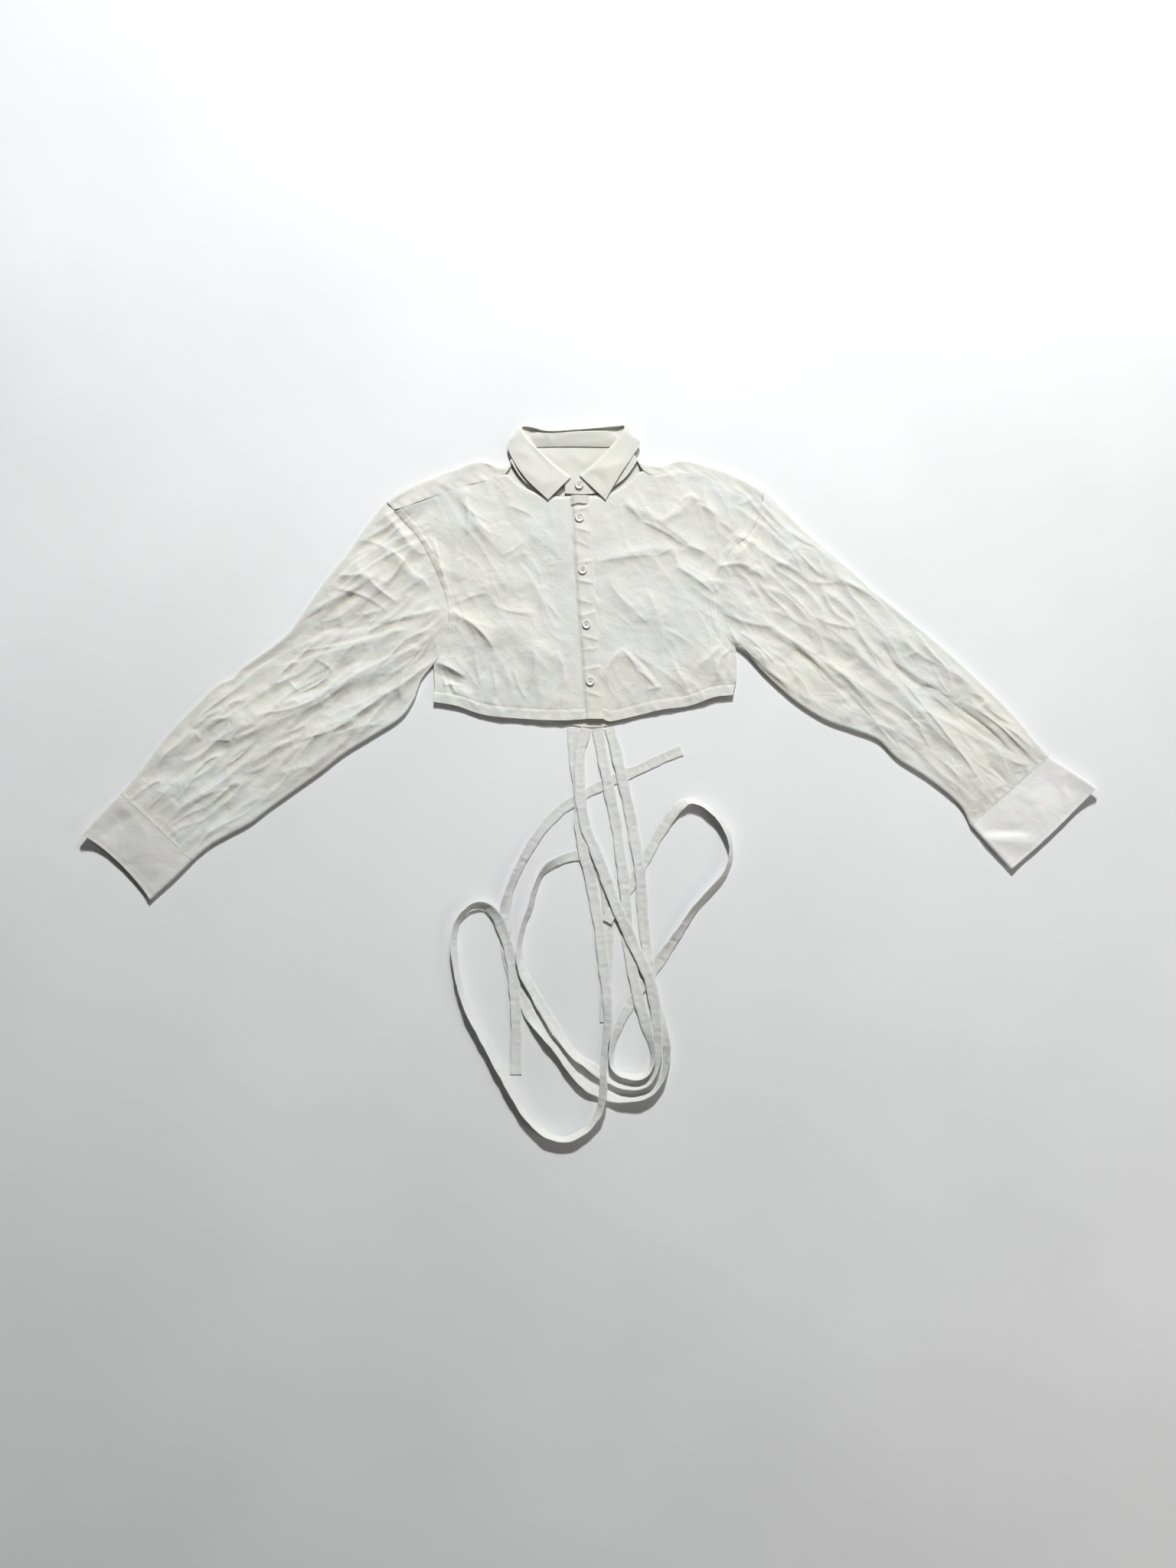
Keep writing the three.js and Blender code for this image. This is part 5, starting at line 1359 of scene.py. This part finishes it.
TUBE_ANGLES = np.radians([60, 30, 0, -30, -60])     # of the rows round each folded edge


def tube_rings(place, widths, top, bottom, thick, spans, under_spans):
    """Rings of a flattened tube as two grids, a row for each section."""
    outer, inner = [], []
    inset = BEND / widths

    def add(a_out, z_out, a_in, z_in):
        outer.append(grid_points(*place(a_out), z_out))
        inner.append(grid_points(*place(a_in), z_in))

    def add_bend(edge, way, angles):
        high, low = top(edge), bottom(edge)
        middle, half = (high + low) / 2, (high - low) / 2
        for angle in angles:
            cos, sin = math.cos(angle), math.sin(angle)
            add(edge + way * BEND * cos / widths, middle + half * sin,
                edge + way * (BEND * cos - thick * cos) / widths, middle + (half - thick) * sin)

    for share in np.linspace(0, 1, spans + 1):
        a = mix(inset, 1 - inset, share)
        z = top(a)
        add(a, z, a, z - thick)
    add_bend(1 - inset, 1, TUBE_ANGLES)
    for share in np.linspace(0, 1, under_spans + 1):
        a = mix(1 - inset, inset, share)
        z = bottom(a)
        add(a, z, a, z + thick)
    add_bend(inset, -1, -TUBE_ANGLES)
    return np.stack(outer, 1), np.stack(inner, 1)


def from_edge(a, widths, band):
    """0 at both long edges of a tube and 1 from a distance off them."""
    return smooth(np.minimum(a, 1 - a) * widths / band)


class Sleeve:
    """A flattened sleeve, whose last 4 mm narrow to go into the cuff."""

    LONG = 560                     # its length, which sets its rows of cells
    BEYOND = (0.8, 2.4, 4.0)       # rows past its end, inside the cuff
    TUCK = 2.2                     # how far they lie inside the sleeve's faces
    HEAD_ROWS = 6                  # rows of its table over which it takes the armhole's curve

    def __init__(self, side):
        self.side = side
        table = np.array(SLEEVES[side], float)
        count = int(self.LONG / CELL) // 2 * 2 + 1     # an even number of rows of cells with the cuff's
        step = np.linspace(0, 1, count + 1)
        fine = along(table, step)
        run = fine[-1] - fine[-2]
        run = run / np.hypot(run[:2], run[2:]).mean()
        beyond = np.array(self.BEYOND)[:, None]
        fine = np.concatenate([fine, fine[-1] + beyond * run / np.sqrt(0.5) * 0.7])
        self.rows = np.concatenate([step, [1, 1, 1]]) * (len(table) - 1)
        self.tuck = np.concatenate([0 * step, [0.7, 1, 1]])
        self.tuck[-4] = 0.05
        ox, oy = on_board(fine[:, 0], fine[:, 1])
        ux, uy = on_board(fine[:, 2], fine[:, 3])
        widths = np.hypot(ux - ox, uy - oy)
        across, down, reach, depth = NOTCHES[side]
        notch_x, notch_y = on_board(across, down)
        notch = np.exp(-(((ox - notch_x) ** 2 + (oy - notch_y) ** 2) / reach ** 2))
        inward = (self.TUCK * self.tuck + depth * notch) / widths
        self.out = mix(ox, ux, inward), mix(oy, uy, inward)
        tucked = self.TUCK * self.tuck / widths
        self.under = mix(ux, ox, tucked), mix(uy, oy, tucked)
        self.widths = np.hypot(self.under[0] - self.out[0], self.under[1] - self.out[1])
        self.share = np.clip(1 - self.rows / self.HEAD_ROWS, 0, 1) ** 1.4
        self.lift = EDGE_RISE * smooth(self.rows / 2)
        middle = [(o + u) / 2 for o, u in zip(self.out, self.under)]
        self.from_armhole = reach_along(*middle)

    def place(self, a):
        a = np.broadcast_to(a, self.widths.shape)
        sx, sy = armhole(self.side, a, 0.35)
        first, last = ARMHOLES[self.side](0.0), ARMHOLES[self.side](1.0)
        cx, cy = mix(first[0], last[0], a), mix(first[1], last[1], a)
        x = mix(self.out[0], self.under[0], a) + (sx - cx) * self.share
        y = mix(self.out[1], self.under[1], a) + (sy - cy) * self.share
        return x, y

    def bottom(self, a):
        return self.lift * (1 - from_edge(a, self.widths, EDGE_BAND)) + 1.7 * self.tuck

    def top(self, a):
        x, y = self.place(a)
        edge = FOLDED_TOP + self.bottom(a)
        to_cuff = self.rows[-1] - self.rows
        z = mix(edge, upper_face(x, y), from_edge(a, self.widths, EDGE_BAND) * smooth(to_cuff / 1.1))
        gathers = np.sin(np.asarray(a) * self.widths / 2.4 + 2.5 * np.sin(np.asarray(a) * 9) + self.rows)
        z = z + 0.45 * np.maximum(gathers, -0.4) * smooth(1 - to_cuff / 0.9) * from_edge(a, self.widths, 8)
        return z - groove(self.from_armhole, 2.6, 0.55) - self.TUCK * self.tuck


SLEEVE_WIDE = 178     # width of a sleeve, which sets its columns of cells
UNDER_SPANS = 30      # columns of cells of a sleeve's or a cuff's lower ply


def make_sleeve(side):
    sleeve = Sleeve(side)
    spans = int(SLEEVE_WIDE / CELL)
    outer, inner = tube_rings(sleeve.place, sleeve.widths, sleeve.top, sleeve.bottom, PLY, spans,
                              UNDER_SPANS)
    # The upper ply's valleys get painted shade, the lower ply none.
    folds = np.zeros(outer.shape[:2])
    folds[:, :spans + 1] = painted_shade_mask(outer[:, :spans + 1, 2])
    piece = wall(f"sleeve_{side}_cloth", outer, inner, True, folds)
    dress(piece, [f"sleeve_{side}"], CLOTH[f"sleeve_{side}"])


make_sleeve("left")
make_sleeve("right")


CUFF_DEEP = 73
CUFF_ROWS = 36
CUFF_SPANS = 60
CUFF_STITCHES = (1.8, 67)     # from the sleeve's end to the two lines of stitches


class Cuff:
    """A flattened cuff, which carries on from its sleeve's end."""

    def __init__(self, side):
        step = np.linspace(0, 1, CUFF_ROWS + 1)
        fine = along(CUFFS[side], step)
        self.down = step * CUFF_DEEP
        self.out = on_board(fine[:, 0], fine[:, 1])
        self.under = on_board(fine[:, 2], fine[:, 3])
        self.widths = np.hypot(self.under[0] - self.out[0], self.under[1] - self.out[1])
        self.bow, self.out_rise, self.under_rise = fine[:, 4], fine[:, 5], fine[:, 6]

    def place(self, a):
        a = np.broadcast_to(a, self.widths.shape)
        swell = self.bow * 4 * a * (1 - a) / self.widths
        x = mix(self.out[0], self.under[0], a) - swell * (self.under[1] - self.out[1])
        y = mix(self.out[1], self.under[1], a) + swell * (self.under[0] - self.out[0])
        return x, y

    def bottom(self, a):
        return (self.out_rise * np.clip(1 - a * self.widths / 45, 0, 1) ** 2
                + self.under_rise * np.clip(1 - (1 - a) * self.widths / 30, 0, 1) ** 2)

    def top(self, a):
        x, y = self.place(a)
        z = self.bottom(a) + LIE + 0.2 + 1.2 * from_edge(a, self.widths, 40)
        z = z + 1.1 * fold_sum(CUFF_FOLDS, x, y, 1.3) + 0.7 * CUFF_CRUMPLE(x, y) + 0.35 * BODY_FINEST(x, y)
        seam, hem = CUFF_STITCHES
        sunk = groove(self.down - seam, 1.0, 0.4) + groove(self.down - hem, 1.0, 1.0)
        return z - 0.35 * sunk + groove(self.down - 0.4, 0.7, 0.5)


CUFF_CRUMPLE = Crumple(51, 30, 1.3, 0, 1.6)
CUFF_FOLDS = [
    (185, 1059, 138, 1096, -3, 10, 12, -1.8),
    (150, 1048, 196, 1092, 2, 10, 8, 0.9),
    (214, 1160, 246, 1128, 0, 4, 8, 0.8),
    (1277, 1093, 1356, 1100, -2, 2.5, 8, 1.4),
    (1374, 1019, 1402, 1054, 2, 6, 6, 1.2),
    (1322, 1040, 1352, 1066, 3, 6, 9, -0.9),
    (168, 1058, 128, 1100, 0, 12, 14, -2.4),
    (196, 1080, 170, 1128, 4, 16, 12, 1.8),
    (226, 1112, 196, 1150, 0, 12, 10, 1.2),
    (1278, 1092, 1350, 1094, 0, 3, 12, 2.2),
    (1284, 1084, 1346, 1088, 0, 12, 3, -2.0),
    (1384, 996, 1392, 1060, 0, 3, 9, 1.8),
    (1352, 1006, 1404, 1052, 0, 22, 16, -2.0),
    (1330, 1030, 1366, 1080, 4, 14, 14, 1.6),
]


def make_cuff(side):
    cuff = Cuff(side)
    outer, inner = tube_rings(cuff.place, cuff.widths, cuff.top, cuff.bottom, BAND, CUFF_SPANS, UNDER_SPANS)
    piece = wall(f"cuff_{side}_cloth", outer, inner, True)
    dress(piece, [f"cuff_{side}"], CLOTH[f"cuff_{side}"])
    for down in CUFF_STITCHES:
        row = int(round(down / CUFF_DEEP * CUFF_ROWS))
        stitch_along(outer[row, 2:CUFF_SPANS - 1] + STITCH_LIFT * UP)


make_cuff("left")
make_cuff("right")


# ---- Collar ----

def strip(name, stations, thick):
    """A shell of even thickness on both sides of a grid of points, and the grid's normals."""
    run = np.gradient(stations, axis=0)
    side = np.gradient(stations, axis=1)
    normal = np.cross(run, side)
    normal /= np.maximum(np.linalg.norm(normal, axis=2, keepdims=True), 1e-9)
    return wall(name, stations + normal * thick / 2, stations - normal * thick / 2), normal


# Upper edge and neck seam: across, down, height, across, down, height.
STAND = [
    (738, 618, 5.4, 738, 645, 4.9), (756, 617, 5.4, 757, 646, 4.9), (770, 613, 5.4, 780, 644.5, 4.9),
    (786, 600, 5.4, 800, 637, 4.9), (800, 583, 5.6, 818, 623, 5.2), (808.5, 574, 6.6, 831.5, 604, 6.2),
    (809.8, 573, 5.0, 832.8, 603, 4.6), (808.5, 571, 3.6, 827, 596, 3.0), (798, 565, 5.6, 806, 585.5, 3.0),
    (784, 564, 6.6, 790, 584, 3.0), (750, 565, 6.6, 750, 583.5, 3.0), (716, 567, 6.6, 708, 584, 3.0),
    (702, 566, 5.6, 693, 586, 3.0), (690.8, 570, 3.6, 673, 596, 3.0), (689.5, 573, 5.0, 666.7, 604, 4.6),
    (690.8, 574, 6.6, 668, 605, 6.2), (696, 584, 5.6, 680, 624, 5.2), (711, 600, 5.4, 696, 638, 4.9),
    (733, 619, 5.4, 716, 645, 4.9),
]

# Creases of the stand and of the two leaves of the collar.
STAND_CREASES = [
    (713, 565, 724, 582, 0, 2.5, 5, 1.3), (686, 562, 702, 578, 2, 3, 4, 1.0),
    (695, 562, 712, 575, -2, 3, 4, 0.9), (728, 571, 800, 566, 3, 4, 7, 0.9),
    (742, 579, 792, 575, -2, 4, 6, 0.6), (806, 566, 792, 580, 0, 4, 4, 0.7),
]
LEAF_CREASES = [
    (764, 614, 824, 603, -3, 9, 14, 2.2), (799, 610, 790, 650, 0, 8, 9, 1.3),
    (772, 618, 792, 640, 3, 7, 9, -1.2), (818, 566, 800, 606, 4, 9, 9, -0.9),
    (678, 574, 722, 622, 3, 8, 10, -1.3), (672, 604, 716, 634, -3, 9, 8, 1.1),
    (668, 590, 700, 602, 2, 6, 8, 0.8), (700, 640, 730, 626, 0, 5, 7, 0.8),
    (690, 570, 684, 600, 2, 6, 8, 0.8),
]


STAND_COLUMNS = 220
STAND_ROWS = 14


def make_stand():
    fine = along(STAND, np.linspace(0, 1, STAND_COLUMNS))
    ux, uy = on_board(fine[:, 0], fine[:, 1])
    sx, sy = on_board(fine[:, 3], fine[:, 4])
    rows = []
    for share in np.linspace(0, 1, STAND_ROWS):
        z = mix(fine[:, 2], fine[:, 5], share) + 0.5 * math.sin(math.pi * share)
        rows.append(grid_points(mix(ux, sx, share), mix(uy, sy, share), z))
    stations = np.stack(rows, 1)
    stations[:, 1:, 2] += 0.8 * fold_sum(STAND_CREASES, stations[:, 1:, 0], stations[:, 1:, 1], 1.2)
    piece, _ = strip("collar_stand_cloth", stations, BAND)
    dress(piece, ["collar_stand"], CLOTH["cream"])
    for share in (0.1, 0.9):
        stitch_along(stations[:, int(share * (STAND_ROWS - 1))] + (BAND / 2 + STITCH_LIFT) * UP)


make_stand()

# Fold over the stand, free edge, and 1 where the leaf hangs behind the neck.
FALL = [
    (746, 624, 716, 653.5, 0), (736, 617, 699, 638, 0), (722, 606, 688, 627, 0), (708, 593, 676, 611, 0),
    (692, 576, 665, 590, 0), (684, 565, 665, 577, 0), (683, 559, 676, 559, 0.5),
    (696, 560, 690, 556.5, 1), (716, 564.5, 714, 562, 1), (750, 563, 750, 560.5, 1),
    (782, 560.5, 783, 558, 1), (804, 558.5, 808, 556, 1), (815, 558, 822, 558, 0.5),
    (812, 567, 836, 578, 0), (802, 580, 828, 594, 0), (788, 595, 813, 616, 0), (772, 610, 801, 636, 0),
    (757, 622, 791, 654, 0),
]
FALL_TOP = 8.9
FALL_BACK = 6.9     # top of the fold behind the neck
FALL_EDGE = 8.2
FALL_ROLL = 1.9     # how far the fold rolls down inside the neck, over FALL_ROLL_WIDE
FALL_ROLL_WIDE = 3.6
FALL_COLUMNS = 260
FALL_ROWS = 29
FALL_STITCH_ROW = 26
FALL_STITCHED = (slice(None, 92), slice(168, None))     # the columns of the two leaves in front


def make_fall():
    fine = along(FALL, np.linspace(0, 1, FALL_COLUMNS))
    fx, fy = on_board(fine[:, 0], fine[:, 1])
    ex, ey = on_board(fine[:, 2], fine[:, 3])
    behind = np.clip(fine[:, 4], 0, 1)
    wave = 0.35 * np.sin(np.linspace(0, 19, FALL_COLUMNS))
    top = mix(FALL_TOP, FALL_BACK, behind)
    leaf = np.hypot(fx - ex, fy - ey)
    # Behind the neck the leaf goes over the fold, down and forward under the stand, through these lines.
    forward = ex + (fx - ex) * 0.3
    hanging = [(fx, fy, top), (ex, ey, 4.4), (forward, ey - 4, 1.1), (forward, ey - 17, 0.9)]
    columns = []
    for share in np.linspace(0, 1, FALL_ROWS) ** 1.25:
        crown = 0.5 * math.sin(math.pi * share)
        lx, ly = mix(fx, ex, share), mix(fy, ey, share)
        roll = FALL_ROLL * np.clip(1 - share * leaf / FALL_ROLL_WIDE, 0, 1) ** 2
        crease = fold_sum(LEAF_CREASES, lx, ly, 1.3) * smooth(share * leaf / 5)
        laid = grid_points(lx, ly, mix(top, FALL_EDGE, share) + crown + wave * share - roll + crease)
        k = min(int(share * 3), 2)
        x, y, z = (mix(here, after, share * 3 - k) for here, after in zip(hanging[k], hanging[k + 1]))
        columns.append(mix(laid, grid_points(x, y, z + 0 * fx), behind[:, None]))
    stations = np.stack(columns, 1)
    piece, normal = strip("collar_fall_cloth", stations, BAND)
    dress(piece, ["collar_fall"], CLOTH["cream"])
    out = normal[:, FALL_STITCH_ROW] * np.sign(normal[:, FALL_STITCH_ROW, 2:3])
    line = stations[:, FALL_STITCH_ROW] + out * (BAND / 2 + 0.08)
    for stitched in FALL_STITCHED:
        stitch_along(line[stitched])


make_fall()


# ---- Buttons ----

# Radius and height of the button's section: underside, rim, dish.
BUTTON_PROFILE = [(0.0, 0.0), (4.6, 0.0), (5.5, 0.5), (5.7, 1.3), (5.5, 2.2), (5.0, 2.6), (4.4, 2.55),
                  (3.9, 2.1), (3.5, 1.85), (0.0, 1.75)]
BUTTON_SIDES = 48
HOLE_RADIUS = 0.75
HOLE_OUT = 1.35           # across and down from the middle to each hole
WELD = 0.01


def button_mesh():
    """A dished resin button with a rounded rim and four through holes."""
    points = []
    for radius, z in BUTTON_PROFILE:
        for k in range(BUTTON_SIDES):
            angle = 2 * math.pi * k / BUTTON_SIDES
            points.append((radius * math.cos(angle) * MM, radius * math.sin(angle) * MM, z * MM))
    mesh = bpy.data.meshes.new("button")
    mesh.from_pydata(points, [], quads(point_numbers(len(BUTTON_PROFILE), BUTTON_SIDES)).tolist())
    body = add_object("button_body", mesh)
    bpy.context.view_layer.objects.active = body
    weld = body.modifiers.new("weld", "WELD")
    weld.merge_threshold = WELD * MM
    drills = []
    for sx, sy in ((1, 1), (1, -1), (-1, 1), (-1, -1)):
        bpy.ops.mesh.primitive_cylinder_add(
            vertices=16, radius=HOLE_RADIUS * MM, depth=8 * MM,
            location=(sx * HOLE_OUT * MM, sy * HOLE_OUT * MM, 1 * MM))
        drill = bpy.context.object
        drills.append(drill)
        cut = body.modifiers.new("hole", "BOOLEAN")
        cut.object = drill
        cut.operation = "DIFFERENCE"
        cut.solver = "EXACT"
    graph = bpy.context.evaluated_depsgraph_get()
    result = bpy.data.meshes.new_from_object(body.evaluated_get(graph))
    for extra in [*drills, body]:
        bpy.data.objects.remove(extra)
    return result


BUTTON_MESH = button_mesh()


STRAND_RADIUS = 0.35
STRAND_HALF = 1.9         # half a strand's length, from hole to hole
STRAND_SIDES = 6
STRAND_STEPS = 8
THREAD_HEIGHT = 1.9       # height of the strands over the button's seat


def thread_cross(name, x, y, z):
    """Two crossed strands through the four holes."""
    points, faces = [], []
    for turn in (45, 135):
        cos, sin = math.cos(math.radians(turn)), math.sin(math.radians(turn))
        over = 0.1 if turn == 45 else 0     # the first strand lies over the second
        first = len(points)
        for i in range(STRAND_STEPS + 1):
            t = i / STRAND_STEPS * 2 - 1
            px, py = x + cos * STRAND_HALF * t, y + sin * STRAND_HALF * t
            pz = z + 0.5 * (1 - t * t) - (0.5 if abs(t) > 0.99 else 0) + over
            for k in range(STRAND_SIDES):
                angle = 2 * math.pi * k / STRAND_SIDES
                out = STRAND_RADIUS * math.cos(angle)
                points.append((px - sin * out, py + cos * out, pz + STRAND_RADIUS * math.sin(angle)))
        faces += quads(point_numbers(STRAND_STEPS + 1, STRAND_SIDES, first)).tolist()
        faces.append(list(range(first, first + STRAND_SIDES))[::-1])
        faces.append(list(range(first + STRAND_STEPS * STRAND_SIDES, len(points))))
    piece = make_object(name, points, faces)
    dress(piece, [], THREAD)


for number, (spot_across, spot_down) in enumerate(BUTTON_SPOTS, 1):
    low_corner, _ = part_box(f"button_{number}")
    bx, by = on_board(spot_across, spot_down)
    seat = low_corner[2] / MM if number == 1 else PLACKET_SEAT
    button = add_object(f"button_{number}_resin", BUTTON_MESH.copy())
    button.data.transform(Matrix.Translation((bx * MM, by * MM, seat * MM)))
    shade(button.data, 40)
    dress(button, [f"button_{number}"], RESIN)
    thread_cross(f"button_{number}_thread", float(bx), float(by), seat + THREAD_HEIGHT)


# ---- Sewing ----

def make_stitches():
    """All the stitches in one mesh. Each is a spindle of four sides, whose ends dip into the cloth."""
    spots, runs, ups = (np.array(values) for values in zip(*STITCHES))
    sides = np.cross(runs, ups)
    sides /= np.linalg.norm(sides, axis=1, keepdims=True)
    ups = np.cross(sides, runs)
    half, thick = STITCH_LONG / 2, STITCH_THICK / 2
    shape = [(-half, 0, -thick)]
    for reach in (-half * 0.7, half * 0.7):
        shape += [(reach, thick, 0), (reach, 0, thick), (reach, -thick, 0), (reach, 0, -thick)]
    shape.append((half, 0, -thick))
    shape = np.array(shape)
    points = (spots[:, None, :] + runs[:, None, :] * shape[None, :, :1]
              + sides[:, None, :] * shape[None, :, 1:2] + ups[:, None, :] * shape[None, :, 2:3])
    count = len(shape)
    one = []
    for k in range(4):
        after = (k + 1) % 4
        one.append((0, 1 + k, 1 + after))
        one.append((count - 1, 5 + after, 5 + k))
        one.append((1 + k, 5 + k, 5 + after, 1 + after))
    faces = [tuple(count * i + k for k in face) for i in range(len(spots)) for face in one]
    piece = make_object("stitching", points.reshape(-1, 3), faces)
    dress(piece, [], THREAD)


make_stitches()
